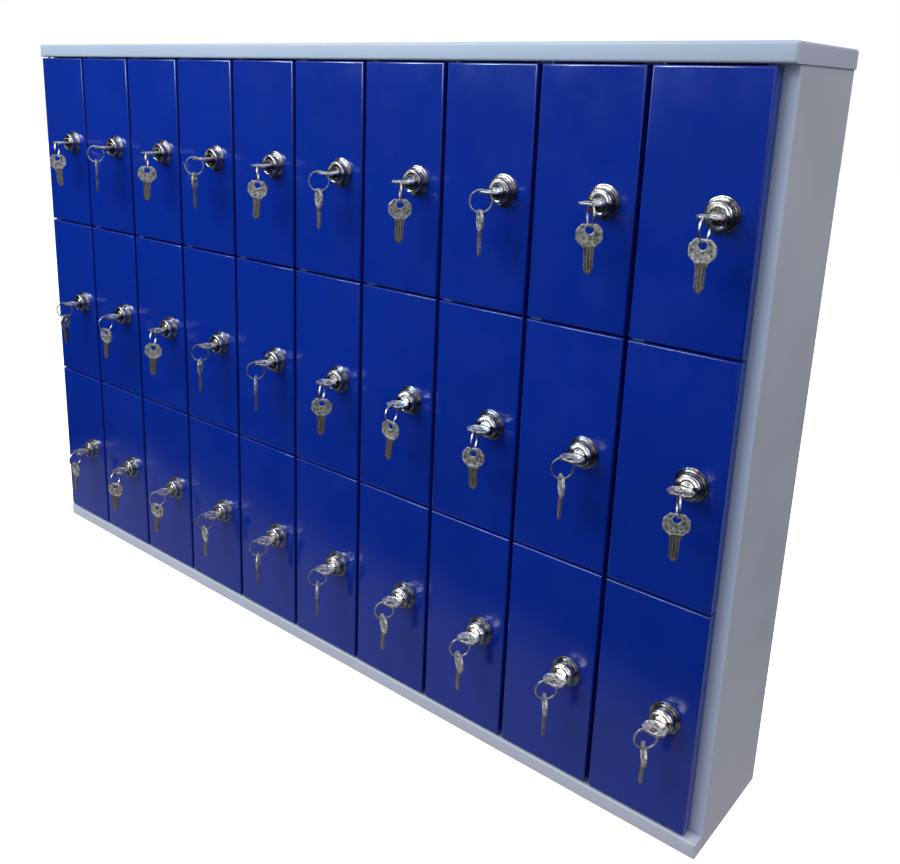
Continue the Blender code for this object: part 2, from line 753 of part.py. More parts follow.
def make_bench_lock(door, chrome, zinc, nickel):
    """The last door's lock in its separate pieces, with its split ring and spare key."""
    plug = on_lock_axis(make_plug_with_key(chrome), door)
    half = TAIL_WIDTH / 2 + TAIL_PLAY
    tail_hole = [(-half, -half), (half, -half), (half, half), (-half, half)]
    cam = settle_flat(make_cam(f"cam_r{TURNING_ROW}_c{COLUMNS}", zinc, [tail_hole]), zinc)
    cam.parent = plug
    nut_hole = arc(nut_hole_radius(), 2 * pi, 2 * pi / LOCK_SIDES, LOCK_SIDES - 1)
    nut_edge = arc(NUT_RADIUS, 0, 2 * pi - 2 * pi / NUT_SIDES, NUT_SIDES - 1)
    nut = flat_piece(f"nut_r{TURNING_ROW}_c{COLUMNS}", [nut_edge, nut_hole], NUT_THICKNESS, zinc)
    placed_along_y(nut, -(DOOR_SHEET + SEAT_GAP + NUT_THICKNESS / 2))
    settle_flat(nut, zinc)
    on_lock_axis(nut, door)
    make_ring_and_spare(plug, nickel)


def nut_hole_radius():
    """Corner radius of the nut's faceted hole, so that its flats clear the barrel."""
    return (BARREL_RADIUS + NUT_PLAY) / cos(pi / LOCK_SIDES)


def settle_flat(piece, material):
    """Bake a flat piece's turn and offset into its mesh, so that its origin is on the lock's axis."""
    bpy.context.view_layer.update()
    piece.data.transform(piece.matrix_basis)
    piece.matrix_basis = Matrix.Identity(4)
    return piece


def make_ring_and_spare(plug, material):
    """Split ring through the inserted key's hole and the spare key that hangs on it."""
    pivot = bpy.data.objects.new("ring_pivot", None)
    LOCKER.objects.link(pivot)
    pivot.parent = plug
    pivot.location = (0, -KEY_HOLE_OUT, 0)
    bpy.ops.mesh.primitive_torus_add(
        major_segments=RING_STEPS,
        minor_segments=RING_WIRE_SIDES,
        major_radius=RING_RADIUS,
        minor_radius=RING_WIRE_RADIUS,
    )
    ring = bpy.context.object
    ring.name = f"split_ring_r{TURNING_ROW}_c{COLUMNS}"
    for collection in list(ring.users_collection):
        collection.objects.unlink(ring)
    LOCKER.objects.link(ring)
    ring.data.materials.append(material)
    ring.parent = pivot
    ring.rotation_euler.y = pi / 2
    ring.location = (0, KEY_HOLE_OUT - BOW_END - RING_OVERHANG, -RING_DROP)
    shade_round(ring)
    spare = make_spare_key(material)
    spare.parent = pivot
    spare.rotation_euler.x = pi / 2
    spare.location = (0, KEY_HOLE_OUT - BOW_END - RING_OVERHANG, -SPARE_HOLE_DROP)


def build():
    grey = paint("cabinet_grey", (0.42, 0.45, 0.53), 0.45, 0.0)
    blue = paint("door_blue", (0.01, 0.02, 0.27), 0.22, 0.0)
    chrome = paint("lock_chrome", (0.55, 0.55, 0.57), 0.18, 1.0)
    zinc = paint("cam_zinc", (0.5, 0.5, 0.48), 0.4, 1.0)
    nickel = paint("key_nickel", (0.62, 0.6, 0.57), 0.3, 1.0)
    make_cap(grey)
    make_base(grey)
    make_left_side(grey)
    make_right_side(grey)
    make_back(grey)
    for row in range(1, ROWS):
        make_shelf(row, grey)
    for column in range(1, COLUMNS):
        make_partition(column, grey)
    doors = make_doors(blue)
    make_turning_locks(doors, chrome)
    make_bench_lock(doors[TURNING_ROW, COLUMNS], chrome, zinc, nickel)


clear_scene()
LOCKER = new_collection("school_locker")
CUTTERS = new_collection("cutters", hidden=True)
build()
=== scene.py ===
from math import asin, cos, pi, radians, sin, sqrt
from random import Random

import bmesh
import bpy
from mathutils import Matrix, Vector


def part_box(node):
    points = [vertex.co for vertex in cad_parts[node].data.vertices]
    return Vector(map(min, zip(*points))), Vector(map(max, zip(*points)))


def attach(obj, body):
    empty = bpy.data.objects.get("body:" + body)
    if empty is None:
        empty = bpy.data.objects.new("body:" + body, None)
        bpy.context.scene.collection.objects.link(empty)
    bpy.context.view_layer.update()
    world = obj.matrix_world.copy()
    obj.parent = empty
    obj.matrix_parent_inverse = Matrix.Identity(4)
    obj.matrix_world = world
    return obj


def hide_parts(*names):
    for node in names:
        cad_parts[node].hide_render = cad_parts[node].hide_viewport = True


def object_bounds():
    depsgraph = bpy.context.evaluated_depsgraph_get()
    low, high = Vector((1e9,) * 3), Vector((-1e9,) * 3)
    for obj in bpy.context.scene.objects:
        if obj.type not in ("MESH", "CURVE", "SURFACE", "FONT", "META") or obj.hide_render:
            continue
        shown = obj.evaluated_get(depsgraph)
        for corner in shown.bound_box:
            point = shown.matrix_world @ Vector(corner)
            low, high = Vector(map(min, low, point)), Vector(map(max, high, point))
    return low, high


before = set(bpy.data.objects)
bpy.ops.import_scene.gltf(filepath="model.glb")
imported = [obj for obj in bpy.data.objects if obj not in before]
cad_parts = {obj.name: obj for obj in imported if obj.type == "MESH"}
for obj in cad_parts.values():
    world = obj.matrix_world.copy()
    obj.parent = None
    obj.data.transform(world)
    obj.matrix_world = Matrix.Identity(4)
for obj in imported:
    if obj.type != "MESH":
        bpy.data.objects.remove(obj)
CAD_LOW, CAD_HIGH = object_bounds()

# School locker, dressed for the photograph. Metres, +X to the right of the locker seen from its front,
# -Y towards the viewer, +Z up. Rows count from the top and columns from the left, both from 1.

ROWS = 3
COLUMNS = 10
TURNING_ROW = 1
CABINET = "cabinet"

# Doors: the frame gives the places, and these are the sheet's own sizes
PATTERN_LOW, PATTERN_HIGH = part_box("door_r2_c1")
FACE_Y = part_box("top_cap")[0].y
DOOR_WIDTH = PATTERN_HIGH.x - PATTERN_LOW.x
DOOR_HEIGHT = PATTERN_HIGH.z - PATTERN_LOW.z
DOOR_DEPTH = 0.013
DOOR_SHEET = 0.001
DOOR_BEND_RADIUS = 0.002
DOOR_BEND_STEPS = 6
PIVOT_INSET = 0.007
PIVOT_SETBACK = 0.0065
PIVOT_HOLE_RADIUS = 0.00196
# Doors differ a little in how far they rest inwards at their free edges
DOOR_SWAY = radians(0.3)
SWAY_SEED = 11

# Cabinet sheets
SHEET = 0.0012
CAP_HEIGHT = 0.015
CHANNEL_DEPTH = 0.014
RETURN_GAP = 0.0008
FOLD_RADIUS = 0.0024
FOLD_STEPS = 5
CAP_GAP = 0.0016
BASE_HEIGHT = 0.015
BASE_GAP = 0.002
PIN_RADIUS = 0.0015
PIN_ENTRY = 0.0003
PIN_SHOULDER_RADIUS = 0.003
PIN_STEPS = 24
STRIKE_REACH = 0.012
STRIKE_SETBACK = 0.003
FRAME_SETBACK = 0.0145
PANEL_EDGE = 0.0003
PANEL_EDGE_STEPS = 2
PANEL_EDGE_ANGLE = radians(50)

# Lock: from the door's face, PLUG_FACE counts outwards, and BARREL_LENGTH and CAM_START inwards
LOCK_INSET = 0.0266
LOCK_DROP = 0.104
BARREL_RADIUS = 0.009
BARREL_LENGTH = 0.0194
BARREL_STEPS = 48
THREAD_PITCH = 0.0013
THREAD_DEPTH = 0.0005
THREAD_CREST_SHARES = (0.4, 0.6)
PLUG_RADIUS = 0.0058
PLUG_EDGE = 0.0004
PLUG_FACE = 0.0091
BORE_RADIUS = 0.0065
KEYWAY_WIDTH = 0.0094
KEYWAY_HEIGHT = 0.0027
KEYWAY_DEPTH = 0.0016
CAM_START = 0.0197
CAM_THICKNESS = 0.002
CAM_LENGTH = 0.021
CAM_WIDTH = 0.01
CAM_BOSS_RADIUS = 0.0072
CAM_BOSS_STEPS = 24
CAM_TIP_STEPS = 10
CAM_EDGE = 0.0002
CAM_SCREW_RADIUS = 0.0045
CAM_SCREW_HEIGHT = 0.0012
SLIT_REACH = 0.0026
SLIT_WIDTH = 0.0009
SLIT_DEPTH = 0.0006
SCREW_STEPS = 40
TAIL_WIDTH = 0.006
TAIL_PLAY = 0.0004
NUT_RADIUS = 0.0136
NUT_THICKNESS = 0.003
NUT_BORE_RADIUS = 0.0094
NUT_CORNER = 0.0012
NUT_EDGE = 0.0003
SEAT_GAP = 0.0003
TURN_STEPS = 64
# How far a cutter runs past its face, or a joined piece into what carries it
OVERRUN = 0.001
# Half section of the housing outside the door, in millimetres: radius and distance out, from the flange's
# rim over its ring and the collar into the bore
MM = 0.001
HOUSING_SECTION = (
    (14.0, 0.05), (14.0, 0.85), (13.88, 1.12), (13.6, 1.25), (13.2, 1.22), (12.95, 1.0), (12.8, 0.75),
    (12.45, 0.75), (12.35, 1.0), (12.3, 2.1), (12.15, 2.38), (11.9, 2.5), (11.55, 2.42), (11.35, 2.15),
    (11.2, 1.75), (10.95, 1.7), (10.8, 1.9), (10.8, 7.9), (10.7, 8.35), (10.35, 8.95), (10.0, 9.3),
    (9.75, 9.45), (9.5, 9.5), (8.95, 9.5), (8.75, 9.4), (8.65, 9.2), (8.6, 8.6), (8.3, 8.45),
    (7.0, 8.45), (6.7, 8.4), (6.5, 8.2),
)
# Head of the cam's screw from its middle to its rim: shares of its radius, and the fall from its top
CAM_SCREW_DOME = ((0, 0), (0.55, 0), (0.85, 0.0002), (1, 0.0006))

# Keys and split rings
KEY_THICKNESS = 0.002
KEY_NECK = 0.0012
KEY_EDGE = 0.0002
BOW_WIDTH = 0.0205
BOW_LENGTH = 0.0175
BOW_CORNER = 0.001
BOW_RIM = 0.0012
BOW_RECESS = 0.00038
POCKET_CORNER_SHARE = 0.6
DIMPLE_WIDTH = 0.0034
DIMPLE_HEIGHT = 0.0046
DIMPLE_SPREAD = 0.0039
DIMPLE_DROP = 0.0072
DIMPLE_STEPS = 20
BLADE_WIDTH = 0.0078
BLADE_LENGTH = 0.0215
BLADE_GROOVE_WIDTH = 0.0022
BLADE_GROOVE_DEPTH = 0.0005
BLADE_GROOVE_DROP = 0.001
BLADE_GROOVE_SHARE = 0.86
BLADE_GROOVE_CORNER_SHARE = 0.9
KEY_HOLE_RADIUS = 0.0033
KEY_HOLE_INSET = 0.0047
KEY_HOLE_RIM = 0.0009
KEY_HOLE_STEPS = 32
# The neck in the plug: shares of the bow's width at its neck, of the keyway's depth and of KEY_NECK
NECK_WIDTH_SHARE = 0.9
NECK_SEAT_SHARE = 0.8
NECK_STEP_SHARE = 0.4
RING_RADIUS = 0.0095
RING_WIRE_RADIUS = 0.0008
RING_OVERHANG = 0.0008
RING_STEPS = 56
# The wire's half sizes, its corners and the place of each coil, as shares of RING_WIRE_RADIUS or of the
# half thickness, and the share of a turn in which the wire crosses from one coil to the other
WIRE_HALF_THICK_SHARE = 0.4
WIRE_HALF_WIDE_SHARE = 0.82
WIRE_CORNER_SHARE = 0.8
COIL_PLACE_SHARE = 0.44
COIL_CROSSING_SHARE = 0.16
# Where the wire starts, and how many steps of its two turns it stops short
RING_START = pi * 0.35
RING_END_STEPS = 2
# Half outline of the bow from its neck to its end: shares of BOW_WIDTH and of BOW_LENGTH
BOW_SHARES = ((0.24, 0.0), (0.46, 0.24), (0.5, 0.34), (0.5, 0.7), (0.47, 0.77), (0.28, 1.0))
# Right edge of the blade from the bow to its tip: shares of BLADE_WIDTH and of BLADE_LENGTH
BLADE_SHARES = ((0.54, 0.1), (0.5, 0.2), (0.47, 0.26), (0.49, 0.33), (0.46, 0.42), (0.48, 0.5),
                (0.44, 0.58), (0.47, 0.66), (0.45, 0.75), (0.46, 0.84), (0.16, 1.0))

# Places worked out from the sizes above
BOW_START = PLUG_FACE + KEY_NECK
BOW_END = BOW_START + BOW_LENGTH
KEY_HOLE_OUT = BOW_END - KEY_HOLE_INSET
RING_REACH = KEY_HOLE_INSET + RING_OVERHANG
RING_DROP = (
    sqrt((RING_RADIUS - RING_WIRE_RADIUS - SEAT_GAP) ** 2 - RING_OVERHANG**2) - KEY_THICKNESS / 2
)
SPARE_HOLE_DROP = RING_DROP + RING_RADIUS - RING_WIRE_RADIUS - SEAT_GAP + KEY_HOLE_RADIUS
CAM_END = CAM_START + CAM_THICKNESS

# Camera fitted to the photograph: azimuth 0 looks along +Y, angles in degrees
CAMERA_PLACE = (0.71554, -0.73245, 0.62554)
CAMERA_AZIMUTH = 39.74896
CAMERA_ELEVATION = 14.93964
CAMERA_ROLL = 1.74229
CAMERA_LENS = 37.8149
CAMERA_SHIFT = (0.039123, -0.105071)
CAMERA_SENSOR = 36.0
CAMERA_CLIP = (0.01, 50.0)

# For each door, in degrees: the turn of the ring's plane about the upright through the key's hole, from
# square to the locker's front; the turn of the spare key's flat side about the upright through the ring's
# middle, from facing forwards; and the spare key's lean in its own plane. Turns go towards the right
HANGING = {
    1: ((45, 40, -4), (-45, -32, 3), (49, 44, 2), (-45, -50, 0), (45, 28, 4),
        (-45, -28, -3), (45, 42, 1), (-45, -42, -3), (45, 34, -2), (0, 0, 0)),
    2: ((-40, -60, 2), (0, 5, 3), (35, 35, 3), (-45, -50, -2), (-40, -45, 2),
        (30, 35, 2), (5, 0, 4), (20, 15, -2), (-45, -48, 2), (30, 25, 0)),
    3: ((10, -5, 8), (20, 25, 4), (-30, 10, 5), (-45, -20, 0), (-45, -50, 0),
        (-45, -48, 0), (-40, -30, 5), (-40, -35, 2), (-45, -50, 0), (-48, -55, 6)),
}

# Lamps: place, target, size, power and colour
LAMPS = {
    "overhead": ((-0.5, -1.2, 1.5), (0.0, -0.1, 0.5), (1.5, 0.6), 32.0, (1.0, 0.98, 0.84)),
    "right": ((1.9, 0.35, 1.5), (0.48, 0.0, 0.45), (1.0, 1.0), 20.0, (1.0, 0.74, 0.66)),
}
# A window's beam that falls on the two upper rows and fades out over the lowest: place, target, power,
# colour, cone in degrees, softness of its edge and radius of its source
BEAM = ((-1.3, -2.2, 1.5), (-0.25, 0.0, 1.28), 74.0, (0.34, 0.62, 1.0), 50, 0.18, 0.16)
# Light from all round on matt surfaces: level and colour
ROOM = (0.89, (0.86, 0.98, 1.0))
# What gloss shows of the room: levels at the horizon and overhead, and the heights between which it grows
SHEEN_LEVELS = (0.02, 0.82)
SHEEN_HEIGHTS = (0.12, 0.75)
# A soft window at the right that only gloss shows: level, direction, and the cosines of its edge
SIDE_WINDOW = (0.68, (0.88, -0.28, 0.38), (0.62, 0.95))
# The floor. To the camera it is a grey with a veil of light over it, so that it is white but for shadows
FLOOR_HALF = 8.0
FLOOR_GREY = (0.8, 0.8, 0.8)
FLOOR_VEIL = 0.8
# What gloss shows of the floor near the locker and far from it, and the distances where that changes
FLOOR_GLOSS = (0.26, 0.004)
FLOOR_GLOSS_REACH = (0.12, 0.26)
# What the floor throws back on the locker, from its left to its right
FLOOR_SPAN = (-0.6, 0.6)
FLOOR_BOUNCE = ((0.5, 0.5, 0.5), (0.16, 0.15, 0.14))
# A warm glow of the floor on the locker: level and colour, the distance ahead of the doors over which it
# grows, and the distance beside the locker over which it fades
FLOOR_FRONT = (0.46, (1.0, 0.35, 0.25))
FLOOR_FRONT_DEPTH = 0.25
FLOOR_FRONT_FADE = 0.12

# Paints: the shared grey, its stains and specks, a painted highlight in patches on its edges, and each part's
# tint
GREY = (0.28, 0.325, 0.405)
GREY_DULL = (0.268, 0.312, 0.39)
GREY_CLEAN = (0.292, 0.338, 0.42)
GREY_SPECK = (0.33, 0.375, 0.46)
GREY_EDGE_HIGHLIGHT = (0.42, 0.45, 0.5)
CAP_TINT = (0.95, 0.97, 1.05)
# Painted light: the side's slightly warmer tint, the lighter, bluer tint of its forward faces and the base's
# lighter, bluer tint
SIDE_PAINTED_LIGHT_TINT = (1.0, 0.98, 0.99)
FLANGE_PAINTED_LIGHT_TINT = (1.2, 1.2, 1.4)
BASE_PAINTED_LIGHT_TINT = (1.16, 1.16, 1.24)
BLUE = (0.0004, 0.0145, 0.2)
BLUE_DEEP = (0.0003, 0.0135, 0.187)
BLUE_LIGHT = (0.0006, 0.0155, 0.213)
# Lighter blue of the painted highlight in patches on the doors' edges
BLUE_EDGE_HIGHLIGHT = (0.02, 0.05, 0.36)
# Metals: name, bright and dark tones of a random mottle, a painted edge highlight, lowest and highest
# roughness, and strength of the relief
METALS = {
    "chrome": ("lock_chrome_finish", (0.68, 0.69, 0.71), (0.2, 0.2, 0.22), (0.9, 0.9, 0.92),
               0.1, 0.24, 0.6),
    "zinc": ("cam_zinc_finish", (0.58, 0.58, 0.55), (0.42, 0.42, 0.4), (0.7, 0.7, 0.68),
             0.3, 0.5, 0.8),
    "nickel": ("key_nickel_finish", (0.8, 0.79, 0.82), (0.44, 0.43, 0.45), (0.96, 0.95, 0.98),
               0.2, 0.4, 1.0),
}
# The spare keys' stamped bow and its stains, their blade and its stains, and a painted highlight on their
# edges
SPARE = (0.6, 0.58, 0.55)
SPARE_BOW = ((0.09, 0.09, 0.095), (0.52, 0.51, 0.5))
SPARE_BLADE = ((0.1, 0.085, 0.08), (0.24, 0.21, 0.2))
SPARE_EDGE_HIGHLIGHT = (0.92, 0.91, 0.92)
# Heights under the bow's end between which a spare key's finish changes from bow to blade
SPARE_FINISH_SPAN = (0.0004, -0.0012)
# The record's material slot of each look
SLOTS = {
    "blue": "door_blue", "chrome": "lock_chrome", "zinc": "cam_zinc", "nickel": "key_nickel",
    "spare": "key_nickel", "grey": "cabinet_grey", "side": "cabinet_grey", "base": "cabinet_grey",
}


# Small geometry helpers

STAND_UP = Matrix.Rotation(pi / 2, 4, "X")
SMOOTH_ANGLE = radians(35)
HOUSING_SMOOTH_ANGLE = radians(28)
PLATE_EDGE_STEPS = 2
# Distances that count as touching, and as being on a turned shape's axis
TOUCHING = 1e-6
ON_AXIS = 1e-7
# A corner this near to straight gets no fillet, and a fillet takes at most this share of a side
STRAIGHT_CORNER = 0.02
FILLET_SIDE_SHARE = 0.45
# Least share of an inset's distance that a sharp corner's shift is worked out with
INSET_CORNER_SHARE = 0.4


def keep_mesh(name, shape):
    bmesh.ops.recalc_face_normals(shape, faces=shape.faces)
    mesh = bpy.data.meshes.new(name)
    shape.to_mesh(mesh)
    shape.free()
    return mesh


def helper(mesh):
    item = bpy.data.objects.new(mesh.name, mesh)
    bpy.context.scene.collection.objects.link(item)
    return item


def settled(item, tools=()):
    """The evaluated mesh of a helper object, which is then removed with its cutters."""
    bpy.context.view_layer.update()
    graph = bpy.context.evaluated_depsgraph_get()
    mesh = bpy.data.meshes.new_from_object(item.evaluated_get(graph))
    mesh.name = item.name
    for used in (item, *tools):
        bpy.data.objects.remove(used)
    return mesh


def combined(mesh, *steps):
    """A mesh after Boolean steps, each an operation and the mesh that it uses."""
    item = helper(mesh)
    tools = []
    for operation, tool_mesh in steps:
        tool = helper(tool_mesh)
        modifier = item.modifiers.new("step", "BOOLEAN")
        modifier.operation = operation
        modifier.object = tool
        tools.append(tool)
    return settled(item, tools)


def smooth(mesh, angle=SMOOTH_ANGLE):
    mesh.shade_smooth()
    mesh.set_sharp_from_angle(angle=angle)
    return mesh


def moved(mesh, matrix):
    mesh.transform(matrix)
    return mesh


def box_shape(low, high):
    shape = bmesh.new()
    size = [b - a for a, b in zip(low, high)]
    middle = [(a + b) / 2 for a, b in zip(low, high)]
    bmesh.ops.create_cube(shape, size=1, matrix=Matrix.Translation(middle) @ Matrix.Diagonal((*size, 1)))
    return shape


def box_mesh(name, low, high):
    return keep_mesh(name, box_shape(low, high))


def fold_edges(shape, edges, radius, steps):
    bmesh.ops.bevel(shape, geom=edges, offset=radius, segments=steps, profile=0.5, affect="EDGES")


def rod_mesh(name, radius, start, end, steps):
    """A round rod on the lock's axis between two distances out."""
    return turned_mesh(name, [(0, start), (radius, start), (radius, end), (0, end)], steps)


def turned_mesh(name, profile, steps=TURN_STEPS, closed=False):
    """A profile of (radius, distance out) points turned round the lock's axis, which is -Y."""
    shape = bmesh.new()
    rings = []
    for radius, out in profile:
        if radius < ON_AXIS:
            rings.append([shape.verts.new((0, -out, 0))] * steps)
            continue
        turns = [2 * pi * i / steps for i in range(steps)]
        rings.append([shape.verts.new((radius * cos(t), -out, radius * sin(t))) for t in turns])
    pairs = list(zip(rings, rings[1:]))
    if closed:
        pairs.append((rings[-1], rings[0]))
    for near, far in pairs:
        for i in range(steps):
            j = (i + 1) % steps
            corners = [near[i], near[j], far[j], far[i]]
            corners = [v for k, v in enumerate(corners) if v not in corners[:k]]
            if len(corners) > 2:
                shape.faces.new(corners)
    return keep_mesh(name, shape)


def arc(radius, start, end, steps, x=0, y=0):
    turns = [start + (end - start) * i / steps for i in range(steps + 1)]
    return [(x + radius * cos(turn), y + radius * sin(turn)) for turn in turns]


def circle(radius, steps, x=0, y=0):
    return arc(radius, 0, 2 * pi * (steps - 1) / steps, steps - 1, x, y)


def filleted(points, radius, steps=4):
    """A closed outline with each corner rounded, by less where its sides are short."""
    made = []
    count = len(points)
    for i, point in enumerate(points):
        here = Vector(point)
        back = Vector(points[i - 1]) - here
        ahead = Vector(points[(i + 1) % count]) - here
        spread = back.angle(ahead)
        if spread > pi - STRAIGHT_CORNER:
            made.append(tuple(here))
            continue
        longest = min(back.length * FILLET_SIDE_SHARE, ahead.length * FILLET_SIDE_SHARE)
        run = min(radius / (sin(spread / 2) / cos(spread / 2)), longest)
        start = here + back.normalized() * run
        end = here + ahead.normalized() * run
        for k in range(steps + 1):
            t = k / steps
            made.append(tuple(start * (1 - t) ** 2 + here * 2 * t * (1 - t) + end * t * t))
    return made


def inset_outline(points, distance):
    """A closed anticlockwise outline moved inwards."""
    made = []
    count = len(points)
    for i, point in enumerate(points):
        back = (Vector(point) - Vector(points[i - 1])).normalized()
        ahead = (Vector(points[(i + 1) % count]) - Vector(point)).normalized()
        inwards = Vector((-back.y - ahead.y, back.x + ahead.x))
        along = inwards.normalized()
        share = max(along.dot(Vector((-back.y, back.x))), INSET_CORNER_SHARE)
        made.append(tuple(Vector(point) + along * distance / share))
    return made


def plate_mesh(name, loops, thickness, edge=0):
    """A plate in the XY plane, centred on z = 0, with rounded edges. Loops after the first are holes."""
    curve = bpy.data.curves.new(name, "CURVE")
    curve.dimensions = "2D"
    curve.fill_mode = "BOTH"
    curve.extrude = thickness / 2 - edge
    curve.bevel_depth = edge
    curve.bevel_resolution = PLATE_EDGE_STEPS if edge else 0
    curve.offset = -edge
    for loop in loops:
        spline = curve.splines.new("POLY")
        spline.points.add(len(loop) - 1)
        for point, (x, y) in zip(spline.points, loop):
            point.co = (x, y, 0, 1)
        spline.use_cyclic_u = True
    drawn = bpy.data.objects.new(name, curve)
    bpy.context.scene.collection.objects.link(drawn)
    mesh = settled(drawn)
    shape = bmesh.new()
    shape.from_mesh(mesh)
    bmesh.ops.remove_doubles(shape, verts=shape.verts, dist=TOUCHING)
    return keep_mesh(name, shape)


def mirrored(half):
    """A closed outline from its right half, listed from one end of the axis to the other."""
    return list(half) + [(-x, y) for x, y in reversed(half)]


# Shapes

def pan_mesh():
    """A door's folded sheet. Its origin is the left lower corner of the face."""
    shape = box_shape((0, 0, 0), (DOOR_WIDTH, DOOR_DEPTH, DOOR_HEIGHT))
    front = [edge for edge in shape.edges if max(v.co.y for v in edge.verts) < TOUCHING]
    fold_edges(shape, front, DOOR_BEND_RADIUS, DOOR_BEND_STEPS)
    rear = [face for face in shape.faces if min(v.co.y for v in face.verts) > DOOR_DEPTH - TOUCHING]
    bmesh.ops.delete(shape, geom=rear, context="FACES_ONLY")
    skin = helper(keep_mesh("door_pan", shape))
    sheet = skin.modifiers.new("sheet", "SOLIDIFY")
    sheet.thickness = DOOR_SHEET
    sheet.offset = -1
    sheet.use_even_offset = True
    pan = settled(skin)
    pin = rod_mesh("pin_hole", PIVOT_HOLE_RADIUS, -DOOR_HEIGHT, DOOR_HEIGHT, PIN_STEPS)
    moved(pin, Matrix.Translation((PIVOT_INSET, PIVOT_SETBACK, DOOR_HEIGHT / 2)) @ STAND_UP)
    bore = rod_mesh("lock_hole", BARREL_RADIUS + SEAT_GAP, -DOOR_DEPTH, DOOR_SHEET * 4, BARREL_STEPS)
    moved(bore, Matrix.Translation((DOOR_WIDTH - LOCK_INSET, 0, DOOR_HEIGHT - LOCK_DROP)))
    return smooth(combined(pan, ("DIFFERENCE", pin), ("DIFFERENCE", bore)))


def housing_mesh():
    """Flange with its ring, collar and threaded barrel, bored for the plug."""
    profile = [(radius * MM, out * MM) for radius, out in HOUSING_SECTION]
    profile.append((BORE_RADIUS, -BARREL_LENGTH))
    ridge = -BARREL_LENGTH
    profile.append((BARREL_RADIUS - THREAD_DEPTH, ridge))
    while ridge < -DOOR_SHEET - THREAD_PITCH:
        for share in THREAD_CREST_SHARES:
            profile.append((BARREL_RADIUS, ridge + THREAD_PITCH * share))
        ridge += THREAD_PITCH
        profile.append((BARREL_RADIUS - THREAD_DEPTH, ridge))
    profile.append((BARREL_RADIUS, -DOOR_SHEET))
    profile.append((BARREL_RADIUS, HOUSING_SECTION[0][1] * MM))
    return smooth(turned_mesh("lock_housing", profile, closed=True), HOUSING_SMOOTH_ANGLE)


def plug_mesh():
    """Plug with its keyway, square tail and cam screw."""
    profile = [(0, PLUG_FACE), (PLUG_RADIUS - PLUG_EDGE, PLUG_FACE), (PLUG_RADIUS, PLUG_FACE - PLUG_EDGE),
               (PLUG_RADIUS, -BARREL_LENGTH), (0, -BARREL_LENGTH)]
    plug = turned_mesh("plug", profile)
    half = KEYWAY_WIDTH / 2
    slot = box_mesh("keyway", (-half, -PLUG_FACE - OVERRUN, -KEYWAY_HEIGHT / 2),
                    (half, -PLUG_FACE + KEYWAY_DEPTH, KEYWAY_HEIGHT / 2))
    half_tail = TAIL_WIDTH / 2
    screw_start = CAM_END + SEAT_GAP
    screw_end = screw_start + CAM_SCREW_HEIGHT
    tail = box_mesh("tail", (-half_tail, BARREL_LENGTH - OVERRUN, -half_tail),
                    (half_tail, screw_start + CAM_SCREW_HEIGHT / 2, half_tail))
    dome = [(CAM_SCREW_RADIUS * share, fall - screw_end) for share, fall in CAM_SCREW_DOME]
    screw = turned_mesh("screw", dome + [(CAM_SCREW_RADIUS, -screw_start), (0, -screw_start)], SCREW_STEPS)
    steps = [("DIFFERENCE", slot), ("UNION", tail), ("UNION", screw)]
    for name, across, upright in (("slit_a", SLIT_REACH, SLIT_WIDTH / 2),
                                  ("slit_b", SLIT_WIDTH / 2, SLIT_REACH)):
        slit = box_mesh(name, (-across, screw_end - SLIT_DEPTH, -upright),
                        (across, screw_end + OVERRUN, upright))
        steps.append(("DIFFERENCE", slit))
    return smooth(combined(plug, *steps))


def bow_half():
    return [(BOW_WIDTH * x, BOW_LENGTH * y) for x, y in BOW_SHARES]


def key_parts(name, outline, hole_y, blade):
    """A key from its outline, its bow stamped with a rim and two plain grip dimples. +y is the bow's end."""
    hole = circle(KEY_HOLE_RADIUS, KEY_HOLE_STEPS, 0, hole_y)
    key = plate_mesh(name, [outline, hole], KEY_THICKNESS, KEY_EDGE)
    bow = mirrored([(x, y + hole_y + KEY_HOLE_INSET - BOW_LENGTH) for x, y in bow_half()])
    pocket_outline = filleted(inset_outline(bow, BOW_RIM), BOW_CORNER * POCKET_CORNER_SHARE)
    rim_outline = circle(KEY_HOLE_RADIUS + KEY_HOLE_RIM, KEY_HOLE_STEPS, 0, hole_y)
    # A cutter lies centred on the key's face, so it cuts half its own thickness deep
    steps = []
    for side in (-1, 1):
        pocket = plate_mesh("pocket", [pocket_outline], BOW_RECESS * 2)
        rim = plate_mesh("hole_rim", [rim_outline], BOW_RECESS * 4)
        pocket = combined(pocket, ("DIFFERENCE", rim))
        moved(pocket, Matrix.Translation((0, 0, side * KEY_THICKNESS / 2)))
        steps.append(("DIFFERENCE", pocket))
    for side in (-1, 1):
        for across in (-DIMPLE_SPREAD, DIMPLE_SPREAD):
            oval = [(x * DIMPLE_WIDTH, y * DIMPLE_HEIGHT) for x, y in circle(0.5, DIMPLE_STEPS)]
            dimple = plate_mesh("dimple", [oval], BOW_RECESS * 4)
            place = Matrix.Translation((across, hole_y - DIMPLE_DROP, side * KEY_THICKNESS / 2))
            steps.append(("DIFFERENCE", moved(dimple, place)))
    if blade:
        half = BLADE_GROOVE_WIDTH / 2
        top = hole_y + KEY_HOLE_INSET - BOW_LENGTH - BLADE_GROOVE_DROP
        tip = top - BLADE_LENGTH * BLADE_GROOVE_SHARE
        corners = [(-half, tip), (half, tip), (half, top), (-half, top)]
        groove = filleted(corners, half * BLADE_GROOVE_CORNER_SHARE, steps=5)
        for side in (-1, 1):
            cut = plate_mesh("groove", [groove], BLADE_GROOVE_DEPTH * 2)
            steps.append(("DIFFERENCE", moved(cut, Matrix.Translation((0, 0, side * KEY_THICKNESS / 2)))))
    return smooth(combined(key, *steps))


